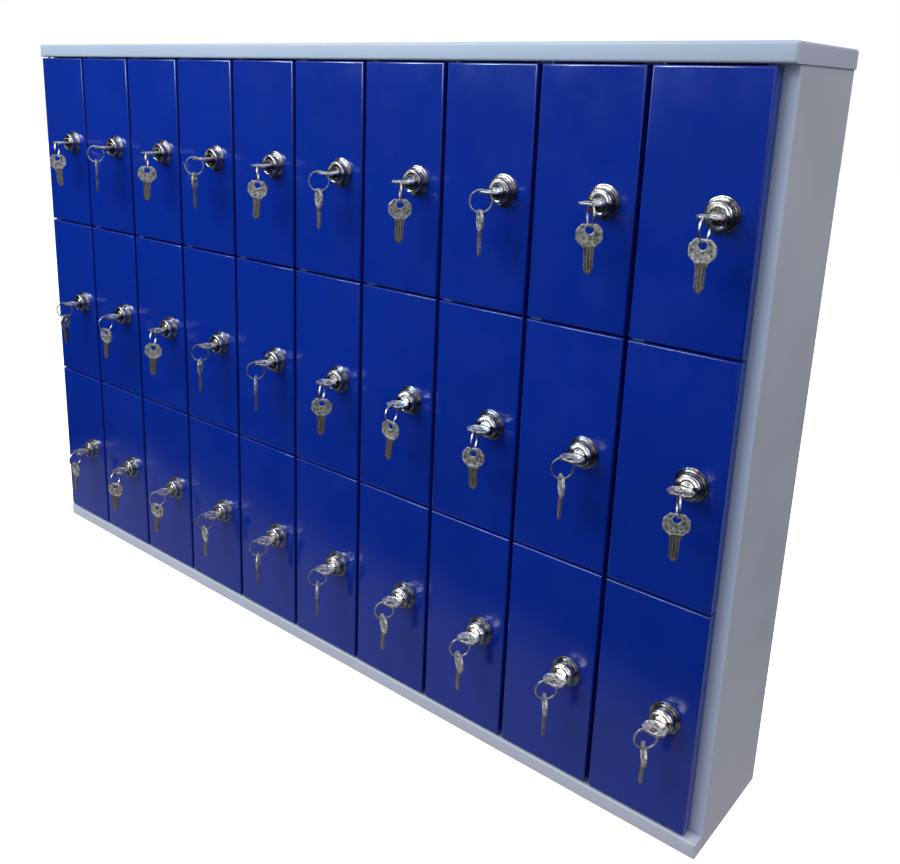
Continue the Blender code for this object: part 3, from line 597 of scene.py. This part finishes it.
def spare_mesh():
    """A whole key. Its origin is the hole's centre and its blade hangs along -Z."""
    shift = BOW_LENGTH - KEY_HOLE_INSET
    blade = [(BLADE_WIDTH * x, -BLADE_LENGTH * y) for x, y in BLADE_SHARES]
    half = list(reversed(blade)) + bow_half()
    outline = filleted([(x, y - shift) for x, y in mirrored(half)], BOW_CORNER)
    return moved(key_parts("spare_key", outline, 0, True), STAND_UP)


def inserted_key_mesh():
    """The bow and neck of a key in its plug, level, with the lock's axis along -Y."""
    neck = BOW_WIDTH * BOW_SHARES[0][0] * NECK_WIDTH_SHARE
    bottom = [(neck, -KEY_NECK - KEYWAY_DEPTH * NECK_SEAT_SHARE), (neck, -KEY_NECK * NECK_STEP_SHARE)]
    outline = filleted(mirrored(bottom + bow_half()), BOW_CORNER)
    key = key_parts("inserted_key", outline, BOW_LENGTH - KEY_HOLE_INSET, False)
    return moved(key, Matrix.Translation((0, -BOW_START, 0)) @ Matrix.Rotation(pi, 4, "Z"))


def ring_mesh():
    """A split ring of two coils in the YZ plane, round its centre."""
    shape = bmesh.new()
    thick = RING_WIRE_RADIUS * WIRE_HALF_THICK_SHARE
    wide = RING_WIRE_RADIUS * WIRE_HALF_WIDE_SHARE
    corners = [(-wide, -thick), (wide, -thick), (wide, thick), (-wide, thick)]
    section = filleted(corners, thick * WIRE_CORNER_SHARE, steps=2)
    loops = []
    for i in range(2 * RING_STEPS - RING_END_STEPS):
        turn = i / RING_STEPS
        share = min(max((turn - (1 - COIL_CROSSING_SHARE / 2)) / COIL_CROSSING_SHARE, 0), 1)
        share = share * share * (3 - 2 * share)
        side = (share * 2 - 1) * RING_WIRE_RADIUS * COIL_PLACE_SHARE
        angle = 2 * pi * turn + RING_START
        loop = []
        for radial, axial in section:
            distance = RING_RADIUS + radial
            loop.append(shape.verts.new((side + axial, distance * cos(angle), distance * sin(angle))))
        loops.append(loop)
    count = len(section)
    for near, far in zip(loops, loops[1:]):
        for i in range(count):
            j = (i + 1) % count
            shape.faces.new((near[i], near[j], far[j], far[i]))
    shape.faces.new(loops[0])
    shape.faces.new(list(reversed(loops[-1])))
    return smooth(keep_mesh("split_ring", shape))


def cam_mesh():
    half_arm = CAM_WIDTH / 2
    tip = arc(half_arm, -pi / 2, 0, CAM_TIP_STEPS, 0, half_arm - CAM_LENGTH)
    boss = arc(CAM_BOSS_RADIUS, asin(half_arm / CAM_BOSS_RADIUS) - pi / 2, pi / 2, CAM_BOSS_STEPS)
    right_half = tip + boss
    outline = right_half + [(-x, y) for x, y in reversed(right_half[1:-1])]
    half = TAIL_WIDTH / 2 + TAIL_PLAY
    hole = [(-half, -half), (half, -half), (half, half), (-half, half)]
    cam = plate_mesh("cam", [outline, hole], CAM_THICKNESS, CAM_EDGE)
    return smooth(moved(cam, Matrix.Translation((0, CAM_START + CAM_THICKNESS / 2, 0)) @ STAND_UP))


def nut_mesh():
    corners = [(NUT_RADIUS * cos(pi * k / 3), NUT_RADIUS * sin(pi * k / 3)) for k in range(6)]
    bore = circle(NUT_BORE_RADIUS, BARREL_STEPS)
    nut = plate_mesh("nut", [filleted(corners, NUT_CORNER), bore], NUT_THICKNESS, NUT_EDGE)
    centre = DOOR_SHEET + SEAT_GAP + NUT_THICKNESS / 2
    return smooth(moved(nut, Matrix.Translation((0, centre, 0)) @ STAND_UP))


def sheet_box(name, low, high, rounded):
    """A box whose edges picked by rounded, from their two ends, are folded with the sheet's radius."""
    shape = box_shape(low, high)
    chosen = [edge for edge in shape.edges if rounded(edge.verts[0].co, edge.verts[1].co)]
    fold_edges(shape, chosen, FOLD_RADIUS, FOLD_STEPS)
    return keep_mesh(name, shape)


def uprights_mesh(name, radius, low, high):
    """Equal round pins on the doors' pivot axes, between two heights."""
    shape = bmesh.new()
    for column in range(1, COLUMNS + 1):
        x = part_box(f"door_r1_c{column}")[0].x + PIVOT_INSET
        place = Matrix.Translation((x, FACE_Y + PIVOT_SETBACK, (low + high) / 2))
        bmesh.ops.create_cone(shape, cap_ends=True, segments=PIN_STEPS, radius1=radius, radius2=radius,
                              depth=high - low, matrix=place)
    return keep_mesh(name, shape)


def cap_mesh():
    """The cap's folded tray, open below, with its front lip turned in and up and its pivot pins."""
    high = CAD_HIGH.copy()
    low = Vector((-high.x, FACE_Y, high.z - CAP_HEIGHT))

    def folds(a, b):
        upright = abs(a.z - b.z) > CAP_HEIGHT / 2
        above = min(a.z, b.z) > high.z - FOLD_RADIUS
        lip = max(a.y, b.y) < low.y + FOLD_RADIUS
        return upright or above or lip

    sheet = Vector((SHEET, SHEET, SHEET))
    inner_low = low + sheet
    inner_high = high - sheet
    back = FACE_Y + CHANNEL_DEPTH
    mouth = box_mesh("mouth", (inner_low.x, back, low.z - SHEET), inner_high)
    turned_in = box_mesh("turned_in", (inner_low.x + SEAT_GAP, back - SHEET, low.z + SHEET / 2),
                         (inner_high.x - SEAT_GAP, back, inner_high.z - RETURN_GAP))
    pin_end = low.z - CAP_GAP - DOOR_SHEET - PIN_ENTRY
    pins = uprights_mesh("pins", PIN_RADIUS, pin_end, low.z + SHEET / 2)
    return smooth(combined(
        sheet_box("cap_shell", low, high, folds), ("DIFFERENCE", box_mesh("channel", inner_low, inner_high)),
        ("DIFFERENCE", mouth), ("UNION", turned_in), ("UNION", pins)
    ))


def base_mesh():
    """The base's folded front channel with its floor, rear wall, shoulders and pivot pins."""
    side_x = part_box("right_side")[1].x
    rear_y = CAD_HIGH.y
    low = Vector((-side_x, FACE_Y, 0))
    high = Vector((side_x, FACE_Y + CHANNEL_DEPTH, BASE_HEIGHT))

    def folds(a, b):
        return max(a.y, b.y) < low.y + FOLD_RADIUS

    inner_low = (low.x + SHEET, low.y + SHEET, SHEET)
    inner_high = (high.x - SHEET, high.y + SHEET, BASE_HEIGHT - SHEET)
    return_y = high.y - SHEET
    floor_x = side_x - SHEET - SEAT_GAP
    turned_in = box_mesh("turned_in", (low.x + SHEET + SEAT_GAP, return_y, SHEET + RETURN_GAP),
                         (high.x - SHEET - SEAT_GAP, high.y, BASE_HEIGHT - SHEET / 2))
    floor = box_mesh("floor", (-floor_x, return_y, 0), (floor_x, rear_y, SHEET))
    rear = box_mesh("rear", (-floor_x, rear_y - SHEET, SHEET / 2), (floor_x, rear_y, BASE_HEIGHT))
    root = BASE_HEIGHT - SHEET / 2
    doors_z = BASE_HEIGHT + BASE_GAP
    shoulders = uprights_mesh("shoulders", PIN_SHOULDER_RADIUS, root, doors_z - SEAT_GAP)
    pins = uprights_mesh("pins", PIN_RADIUS, BASE_HEIGHT, doors_z + DOOR_SHEET + PIN_ENTRY)
    return smooth(combined(
        sheet_box("base_shell", low, high, folds), ("DIFFERENCE", box_mesh("channel", inner_low, inner_high)),
        ("UNION", turned_in), ("UNION", floor), ("UNION", rear), ("UNION", shoulders), ("UNION", pins)
    ))


def right_side_mesh():
    """The right side panel with its folded front flange and the strike of the last column."""
    low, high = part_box("right_side")
    inner_x = high.x - SHEET
    tip_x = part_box(f"door_r1_c{COLUMNS}")[1].x - STRIKE_REACH
    frame_y = FACE_Y + FRAME_SETBACK
    strike_back = frame_y + STRIKE_SETBACK + SHEET
    bend = arc(FOLD_RADIUS, -pi / 2, 0, FOLD_STEPS, high.x - FOLD_RADIUS, frame_y + FOLD_RADIUS)
    inner = arc(FOLD_RADIUS - SHEET, 0, -pi / 2, FOLD_STEPS, high.x - FOLD_RADIUS, frame_y + FOLD_RADIUS)
    outline = [*bend, (high.x, high.y), (inner_x, high.y), *inner, (tip_x + SHEET, frame_y + SHEET),
               (tip_x + SHEET, strike_back), (tip_x, strike_back), (tip_x, frame_y)]
    panel = plate_mesh("right_side_shell", [outline], high.z - low.z)
    moved(panel, Matrix.Translation((0, 0, (low.z + high.z) / 2)))
    foot = box_mesh("foot", (tip_x - SHEET, frame_y - SHEET, low.z - SHEET),
                    (inner_x, high.y + SHEET, SHEET + SEAT_GAP))
    return smooth(combined(panel, ("DIFFERENCE", foot)))


# Materials

WHITE = (1, 1, 1)
# Shifts of a piece's pattern along X, Y and Z for its own random number
PATTERN_SHIFT = (3.1, 5.3, 7.7)
# Between these Y parts of a face's direction, the side's paint changes to the lighter, bluer painted light of
# forward faces
PAINTED_LIGHT_FACING = (-0.3, -0.8)


def new_look(name, colour, roughness, metallic=0.0):
    look = bpy.data.materials.new(name)
    look.use_nodes = True
    shader = look.node_tree.nodes["Principled BSDF"]
    shader.inputs["Base Color"].default_value = (*colour, 1)
    shader.inputs["Roughness"].default_value = roughness
    shader.inputs["Metallic"].default_value = metallic
    return look, look.node_tree, shader


def add(tree, kind, inputs=None, **settings):
    """A new node, its inputs each linked to a socket or set to a value."""
    made = tree.nodes.new(kind)
    for key, value in settings.items():
        setattr(made, key, value)
    for key, value in (inputs or {}).items():
        socket = made.inputs[key]
        if isinstance(value, bpy.types.NodeSocket):
            tree.links.new(value, socket)
        else:
            socket.default_value = value
    return made


def reckoned(tree, operation, *values):
    """The result of a Math node."""
    return add(tree, "ShaderNodeMath", dict(enumerate(values)), operation=operation).outputs[0]


def own_place(tree):
    """Coordinates on the piece, shifted by its own random number, so that equal pieces differ."""
    place = add(tree, "ShaderNodeTexCoord").outputs["Object"]
    number = add(tree, "ShaderNodeObjectInfo").outputs["Random"]
    shift = add(tree, "ShaderNodeVectorMath", {0: number, 1: PATTERN_SHIFT}, operation="MULTIPLY")
    return add(tree, "ShaderNodeVectorMath", {0: place, 1: shift.outputs[0]}, operation="ADD").outputs[0]


def noise(tree, place, scale, detail, roughness=0.5):
    made = add(tree, "ShaderNodeTexNoise", {"Vector": place, "Scale": scale, "Detail": detail,
                                            "Roughness": roughness})
    return made.outputs["Fac"]


def mapped(tree, value, low, high, to_low, to_high):
    made = add(tree, "ShaderNodeMapRange", {"Value": value, "From Min": low, "From Max": high,
                                            "To Min": to_low, "To Max": to_high})
    return made.outputs["Result"]


def stain(tree, place, scale, detail, between, to=(0.0, 1.0), roughness=0.5):
    """Noise whose values between two levels are spread from one new level to another."""
    return mapped(tree, noise(tree, place, scale, detail, roughness), *between, *to)


def blended(tree, amount, first, second):
    made = add(tree, "ShaderNodeMix", data_type="RGBA")
    for socket, value in ((made.inputs[0], amount), (made.inputs[6], first), (made.inputs[7], second)):
        if isinstance(value, bpy.types.NodeSocket):
            tree.links.new(value, socket)
        elif isinstance(value, tuple):
            socket.default_value = (*value, 1)
        else:
            socket.default_value = value
    return made.outputs[2]


def edge_share(tree, radius, sharpness):
    """1 at outer edges within the radius and 0 on flat faces."""
    soft = add(tree, "ShaderNodeBevel", {"Radius": radius}, samples=4).outputs["Normal"]
    flat = add(tree, "ShaderNodeNewGeometry").outputs["True Normal"]
    same = add(tree, "ShaderNodeVectorMath", {0: soft, 1: flat}, operation="DOT_PRODUCT").outputs["Value"]
    return mapped(tree, same, 1.0, 1.0 - sharpness, 0.0, 1.0)


def bumps(tree, *layers):
    """Stacked bumps, each a height, its distance and its strength."""
    normal = None
    for height, distance, strength in layers:
        inputs = {"Height": height, "Distance": distance, "Strength": strength}
        if normal:
            inputs["Normal"] = normal
        normal = add(tree, "ShaderNodeBump", inputs).outputs["Normal"]
    return normal


def finish_look(tree, shader, base, rough, normal):
    for socket, value in (("Base Color", base), ("Roughness", rough), ("Normal", normal)):
        tree.links.new(value, shader.inputs[socket])


def tinted(colour, tint):
    return tuple(part * share for part, share in zip(colour, tint))


def grey_look(name, waviness, tint, facing_painted_light=None):
    """Powder coat in grey, with a painted highlight in patches on its edges. Forward faces can get a tint of
    their own, a painted light.
    """
    look, tree, shader = new_look(name, tinted(GREY, tint), roughness=0.45)
    place = own_place(tree)
    broad = stain(tree, place, scale=6.0, detail=3.0, between=(0.3, 0.7))
    base = blended(tree, broad, tinted(GREY_DULL, tint), tinted(GREY_CLEAN, tint))
    # Forward faces get a lighter, bluer painted light
    if facing_painted_light:
        normal = add(tree, "ShaderNodeNewGeometry").outputs["True Normal"]
        forward = add(tree, "ShaderNodeSeparateXYZ", {0: normal}).outputs["Y"]
        front = blended(tree, broad, tinted(GREY_DULL, facing_painted_light), tinted(GREY_CLEAN, facing_painted_light))
        base = blended(tree, mapped(tree, forward, *PAINTED_LIGHT_FACING, 0.0, 1.0), base, front)
    speck = stain(tree, place, scale=1800.0, detail=1.0, between=(0.55, 0.75), to=(0.0, 0.35))
    base = blended(tree, speck, base, tinted(GREY_SPECK, tint))
    patchy = stain(tree, place, scale=45.0, detail=4.0, between=(0.5, 0.7), to=(0.0, 0.45), roughness=0.65)
    # Lighter patches along the edges are a painted highlight
    highlit_edges = edge_share(tree, radius=0.0006, sharpness=0.35)
    base = blended(tree, reckoned(tree, "MULTIPLY", highlit_edges, patchy), base, GREY_EDGE_HIGHLIGHT)
    rough = stain(tree, place, scale=14.0, detail=4.0, between=(0.3, 0.7), to=(0.36, 0.5))
    wave = noise(tree, place, scale=9.0, detail=1.0)
    peel = noise(tree, place, scale=620.0, detail=2.0)
    finish_look(tree, shader, base, rough, bumps(tree, (wave, 0.006, waviness), (peel, 0.0002, 0.22)))
    return look


def blue_look():
    """Glossy enamel."""
    look, tree, shader = new_look("door_enamel", BLUE, roughness=0.2)
    place = own_place(tree)
    broad = stain(tree, place, scale=11.0, detail=3.0, between=(0.3, 0.7))
    base = blended(tree, broad, BLUE_DEEP, BLUE_LIGHT)
    patchy = stain(tree, place, scale=120.0, detail=4.0, between=(0.52, 0.72), to=(0.0, 0.5), roughness=0.65)
    # Patches of lighter blue along the edges are a painted highlight
    highlit_edges = edge_share(tree, radius=0.0004, sharpness=0.3)
    base = blended(tree, reckoned(tree, "MULTIPLY", highlit_edges, patchy), base, BLUE_EDGE_HIGHLIGHT)
    rough = stain(tree, place, scale=30.0, detail=5.0, between=(0.3, 0.7), to=(0.14, 0.24), roughness=0.6)
    wave = noise(tree, place, scale=14.0, detail=1.0)
    peel = noise(tree, place, scale=420.0, detail=2.0)
    finish_look(tree, shader, base, rough, bumps(tree, (wave, 0.003, 0.12), (peel, 0.00012, 0.18)))
    shader.inputs["Coat Weight"].default_value = 0.35
    shader.inputs["Coat Roughness"].default_value = 0.08
    return look


def spare_look():
    """Nickel whose stamped bow is matt and light and whose blade is smoother and darker."""
    look, tree, shader = new_look("spare_key_finish", SPARE, roughness=0.4, metallic=0.55)
    place = own_place(tree)
    on_piece = add(tree, "ShaderNodeTexCoord").outputs["Object"]
    height = add(tree, "ShaderNodeSeparateXYZ", {0: on_piece}).outputs["Z"]
    bow_end = KEY_HOLE_INSET - BOW_LENGTH
    blade = mapped(tree, height, *(bow_end + fall for fall in SPARE_FINISH_SPAN), 0.0, 1.0)
    mottle = stain(tree, place, scale=330.0, detail=5.0, between=(0.4, 0.62), roughness=0.65)
    bow = blended(tree, mottle, *SPARE_BOW)
    base = blended(tree, blade, bow, blended(tree, mottle, *SPARE_BLADE))
    # A painted rim highlight along the key's edges
    base = blended(tree, edge_share(tree, radius=0.0007, sharpness=0.3), base, SPARE_EDGE_HIGHLIGHT)
    rough = stain(tree, place, scale=520.0, detail=4.0, between=(0.35, 0.65), to=(0.28, 0.5), roughness=0.6)
    dents = noise(tree, place, scale=380.0, detail=3.0)
    grain = noise(tree, place, scale=1500.0, detail=3.0, roughness=0.6)
    finish_look(tree, shader, base, rough, bumps(tree, (dents, 0.0005, 0.5), (grain, 0.0001, 0.4)))
    tree.links.new(mapped(tree, blade, 0.0, 1.0, 0.6, 0.8), shader.inputs["Metallic"])
    return look


def metal_look(name, bright, dark, edge, low_rough, high_rough, relief):
    look, tree, shader = new_look(name, bright, low_rough, metallic=1.0)
    place = own_place(tree)
    mottle = stain(tree, place, scale=260.0, detail=5.0, between=(0.38, 0.66), roughness=0.6)
    base = blended(tree, mottle, dark, bright)
    # Lighter colour on the edges is a painted highlight
    base = blended(tree, edge_share(tree, radius=0.0004, sharpness=0.35), base, edge)
    rough = stain(tree, place, scale=520.0, detail=4.0, between=(0.35, 0.65), to=(low_rough, high_rough),
                  roughness=0.6)
    streak_place = add(tree, "ShaderNodeMapping", {"Vector": place, "Scale": (1.0, 1.0, 7.0)}).outputs[0]
    streaks = noise(tree, streak_place, scale=900.0, detail=3.0, roughness=0.6)
    dents = noise(tree, place, scale=330.0, detail=2.0)
    normal = bumps(tree, (dents, 0.0004 * relief, 0.5), (streaks, 0.0001 * relief, 0.4))
    finish_look(tree, shader, base, rough, normal)
    return look


def make_looks():
    looks = {
        "blue": blue_look(),
        "grey": grey_look("cabinet_powder_coat", 0.12, CAP_TINT),
        "side": grey_look("side_powder_coat", 0.5, SIDE_PAINTED_LIGHT_TINT, FLANGE_PAINTED_LIGHT_TINT),
        "base": grey_look("base_powder_coat", 0.12, BASE_PAINTED_LIGHT_TINT),
        "spare": spare_look(),
    }
    for kind, facts in METALS.items():
        looks[kind] = metal_look(*facts)
    return looks


# Dressing

class Dresser:
    """Adds finished pieces of shared meshes to the scene under their bodies' empties, and hides the CAD nodes
    they stand in for.
    """

    def __init__(self, looks, slots):
        self.looks = looks
        self.slots = slots

    def put(self, name, mesh, kind, body, place, *nodes):
        if not mesh.materials:
            mesh.materials.append(self.looks[kind])
        piece = bpy.data.objects.new(name, mesh)
        bpy.context.scene.collection.objects.link(piece)
        piece.matrix_world = place
        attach(piece, body)
        if nodes:
            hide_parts(*nodes)


def dress_door(dresser, meshes, row, column, sway):
    """One door with its lock, its key, the split ring on it and the spare key."""
    tag = f"r{row}_c{column}"
    door = "door_" + tag
    turning = row == TURNING_ROW
    single = turning and column == COLUMNS

    def own_node(start):
        return [start + tag] if single else []

    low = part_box(door)[0]
    pivot = Matrix.Translation((low.x + PIVOT_INSET, FACE_Y + PIVOT_SETBACK, low.z))
    lean = pivot @ Matrix.Rotation(sway, 4, "Z") @ pivot.inverted()
    here = lean @ Matrix.Translation((low.x, FACE_Y, low.z))
    lock = lean @ Matrix.Translation(
        (low.x + DOOR_WIDTH - LOCK_INSET, FACE_Y, low.z + DOOR_HEIGHT - LOCK_DROP)
    )
    core = "lock_" + tag if turning else door
    core_nodes = own_node("plug_and_key_") or ([core] if turning else [])
    dresser.put("pan_" + tag, meshes["pan"], "blue", door, here, door)
    dresser.put("housing_" + tag, meshes["housing"], "chrome", door, lock)
    dresser.put("fixing_nut_" + tag, meshes["nut"], "zinc", door, lock, *own_node("nut_"))
    dresser.put("plug_" + tag, meshes["plug"], "chrome", core, lock, *core_nodes)
    dresser.put("cam_piece_" + tag, meshes["cam"], "zinc", core, lock, *own_node("cam_"))
    dresser.put("key_" + tag, meshes["key"], "nickel", core, lock)

    ring_turn, spare_turn, spare_lean = HANGING[row][column - 1]
    hole = lock @ Matrix.Translation((0, -KEY_HOLE_OUT, 0))
    about = Matrix.Rotation(radians(ring_turn), 4, "Z")
    centre = hole @ about @ Matrix.Translation((0, -RING_REACH, -RING_DROP))
    drop = Matrix.Translation((0, 0, RING_DROP - SPARE_HOLE_DROP))
    turn = Matrix.Rotation(radians(spare_turn - ring_turn), 4, "Z")
    tip = Matrix.Rotation(radians(spare_lean), 4, "Y")
    ring_body = "split_ring" if single else door
    spare_body = "spare_key" if single else door
    dresser.put("ring_" + tag, meshes["ring"], "nickel", ring_body, centre, *own_node("split_ring_"))
    dresser.put("spare_" + tag, meshes["spare"], "spare", spare_body, centre @ drop @ turn @ tip,
                *own_node("spare_key_"))


def dress_doors(dresser):
    chance = Random(SWAY_SEED)
    meshes = {
        "pan": pan_mesh(), "housing": housing_mesh(), "plug": plug_mesh(), "key": inserted_key_mesh(),
        "spare": spare_mesh(), "ring": ring_mesh(), "cam": cam_mesh(), "nut": nut_mesh(),
    }
    for row in range(1, ROWS + 1):
        for column in range(1, COLUMNS + 1):
            dress_door(dresser, meshes, row, column, chance.uniform(0, DOOR_SWAY))


def dress_cabinet(dresser):
    here = Matrix.Identity(4)
    dresser.put("cap_shell", cap_mesh(), "grey", CABINET, here, "top_cap")
    dresser.put("base_shell", base_mesh(), "base", CABINET, here, "base_tray")
    dresser.put("right_side_shell", right_side_mesh(), "side", CABINET, here, "right_side")
    for name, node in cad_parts.items():
        if name.startswith(("left_side", "back_panel", "shelf", "partition")):
            node.data.materials.clear()
            node.data.materials.append(dresser.looks["grey"])
            edge = node.modifiers.new("edges", "BEVEL")
            edge.width = PANEL_EDGE
            edge.segments = PANEL_EDGE_STEPS
            edge.limit_method = "ANGLE"
            edge.angle_limit = PANEL_EDGE_ANGLE


# Stage, light and camera

def glowing(tree, kind, colour, strength):
    """An emission or a background."""
    return add(tree, kind, {"Color": (*colour, 1), "Strength": strength}).outputs[0]


def either(tree, share, first, second):
    return add(tree, "ShaderNodeMixShader", {0: share, 1: first, 2: second}).outputs[0]


def floor_bounce(tree, parts, across):
    """What the floor sends to matt surfaces: paler at the left, with a warm glow ahead of the doors."""
    pale = blended(tree, mapped(tree, parts["X"], *FLOOR_SPAN, 0.0, 1.0), *FLOOR_BOUNCE)
    matt = add(tree, "ShaderNodeBsdfDiffuse", {"Color": pale}).outputs[0]
    level, colour = FLOOR_FRONT
    ahead = mapped(tree, parts["Y"], FACE_Y - FLOOR_FRONT_DEPTH, FACE_Y, 0.0, level)
    beside = mapped(tree, across, 0.0, FLOOR_FRONT_FADE, 1.0, 0.0)
    glow = glowing(tree, "ShaderNodeEmission", colour, reckoned(tree, "MULTIPLY", ahead, beside))
    return add(tree, "ShaderNodeAddShader", {0: matt, 1: glow}).outputs[0]


def stage_look():
    """Pale floor: white to the camera but for shadows, and in gloss darker away from the locker."""
    look = bpy.data.materials.new("stage_floor")
    look.use_nodes = True
    tree = look.node_tree
    tree.nodes.clear()
    out = add(tree, "ShaderNodeOutputMaterial")
    place = add(tree, "ShaderNodeNewGeometry").outputs["Position"]
    parts = add(tree, "ShaderNodeSeparateXYZ", {0: place}).outputs
    across = reckoned(tree, "SUBTRACT", reckoned(tree, "ABSOLUTE", parts["X"]), CAD_HIGH.x)
    along = reckoned(tree, "SUBTRACT", reckoned(tree, "ABSOLUTE", parts["Y"]), -FACE_Y)
    away = reckoned(tree, "MAXIMUM", across, along)
    grey = add(tree, "ShaderNodeBsdfDiffuse", {"Color": (*FLOOR_GREY, 1)}).outputs[0]
    veil = glowing(tree, "ShaderNodeEmission", WHITE, FLOOR_VEIL)
    seen = add(tree, "ShaderNodeAddShader", {0: grey, 1: veil}).outputs[0]
    level = mapped(tree, away, *FLOOR_GLOSS_REACH, *FLOOR_GLOSS)
    mirror = glowing(tree, "ShaderNodeEmission", WHITE, level)
    path = add(tree, "ShaderNodeLightPath").outputs
    shown = either(tree, path["Is Camera Ray"], floor_bounce(tree, parts, across), seen)
    shown = either(tree, path["Is Glossy Ray"], shown, mirror)
    tree.links.new(shown, out.inputs["Surface"])
    return look


def make_stage():
    mesh = bpy.data.meshes.new("stage_floor")
    half = FLOOR_HALF
    corners = [(-half, -half, 0), (half, -half, 0), (half, half, 0), (-half, half, 0)]
    mesh.from_pydata(corners, [], [(0, 1, 2, 3)])
    mesh.materials.append(stage_look())
    floor = bpy.data.objects.new("stage_floor", mesh)
    bpy.context.scene.collection.objects.link(floor)


def make_world():
    """White to the camera, an even room to matt surfaces, and a lighter ceiling and a window in gloss."""
    world = bpy.data.worlds.new("studio")
    bpy.context.scene.world = world
    world.use_nodes = True
    tree = world.node_tree
    tree.nodes.clear()
    out = add(tree, "ShaderNodeOutputWorld")
    path = add(tree, "ShaderNodeLightPath").outputs
    ray = add(tree, "ShaderNodeTexCoord").outputs["Generated"]
    height = add(tree, "ShaderNodeSeparateXYZ", {0: ray}).outputs["Z"]
    above = mapped(tree, height, *SHEEN_HEIGHTS, *SHEEN_LEVELS)
    side_level, side_way, side_edge = SIDE_WINDOW
    toward = add(tree, "ShaderNodeVectorMath", {0: ray, 1: side_way}, operation="DOT_PRODUCT")
    side = mapped(tree, toward.outputs["Value"], *side_edge, 0.0, side_level)
    room_level, room_colour = ROOM
    soft = glowing(tree, "ShaderNodeBackground", room_colour, room_level)
    gloss = glowing(tree, "ShaderNodeBackground", WHITE, reckoned(tree, "ADD", above, side))
    white = glowing(tree, "ShaderNodeBackground", WHITE, 1.0)
    shown = either(tree, path["Is Glossy Ray"], soft, gloss)
    shown = either(tree, path["Is Camera Ray"], shown, white)
    tree.links.new(shown, out.inputs["Surface"])


def place_lamp(data, place, target):
    lamp = bpy.data.objects.new(data.name, data)
    bpy.context.scene.collection.objects.link(lamp)
    lamp.location = place
    aim = Vector(target) - Vector(place)
    lamp.rotation_mode = "QUATERNION"
    lamp.rotation_quaternion = aim.to_track_quat("-Z", "Y")


def make_lights():
    for name, (place, target, size, power, colour) in LAMPS.items():
        data = bpy.data.lights.new(name, "AREA")
        data.shape = "RECTANGLE"
        data.size, data.size_y = size
        data.energy = power
        data.color = colour
        place_lamp(data, place, target)


def make_beam():
    place, target, power, colour, cone, softness, source_radius = BEAM
    data = bpy.data.lights.new("window_beam", "SPOT")
    data.energy = power
    data.color = colour
    data.spot_size = radians(cone)
    data.spot_blend = softness
    data.shadow_soft_size = source_radius
    place_lamp(data, place, target)


def make_camera():
    azimuth, elevation, roll = (radians(v) for v in (CAMERA_AZIMUTH, CAMERA_ELEVATION, CAMERA_ROLL))
    back = Vector((sin(azimuth) * cos(elevation), -cos(azimuth) * cos(elevation), sin(elevation)))
    right = Vector((0, 0, 1)).cross(back).normalized()
    above = back.cross(right)
    across = right * cos(roll) + above * sin(roll)
    up = above * cos(roll) - right * sin(roll)
    data = bpy.data.cameras.new("camera")
    data.sensor_width = CAMERA_SENSOR
    data.lens = CAMERA_LENS
    data.shift_x, data.shift_y = CAMERA_SHIFT
    data.clip_start, data.clip_end = CAMERA_CLIP
    camera = bpy.data.objects.new("camera", data)
    bpy.context.scene.collection.objects.link(camera)
    turn = Matrix((across, up, back)).transposed().to_4x4()
    camera.matrix_world = Matrix.Translation(CAMERA_PLACE) @ turn
    bpy.context.scene.camera = camera


def build():
    dresser = Dresser(make_looks(), SLOTS)
    dress_cabinet(dresser)
    dress_doors(dresser)
    make_stage()
    make_world()
    make_beam()
    make_lights()
    make_camera()
    bpy.context.scene.view_settings.view_transform = "Standard"


build()
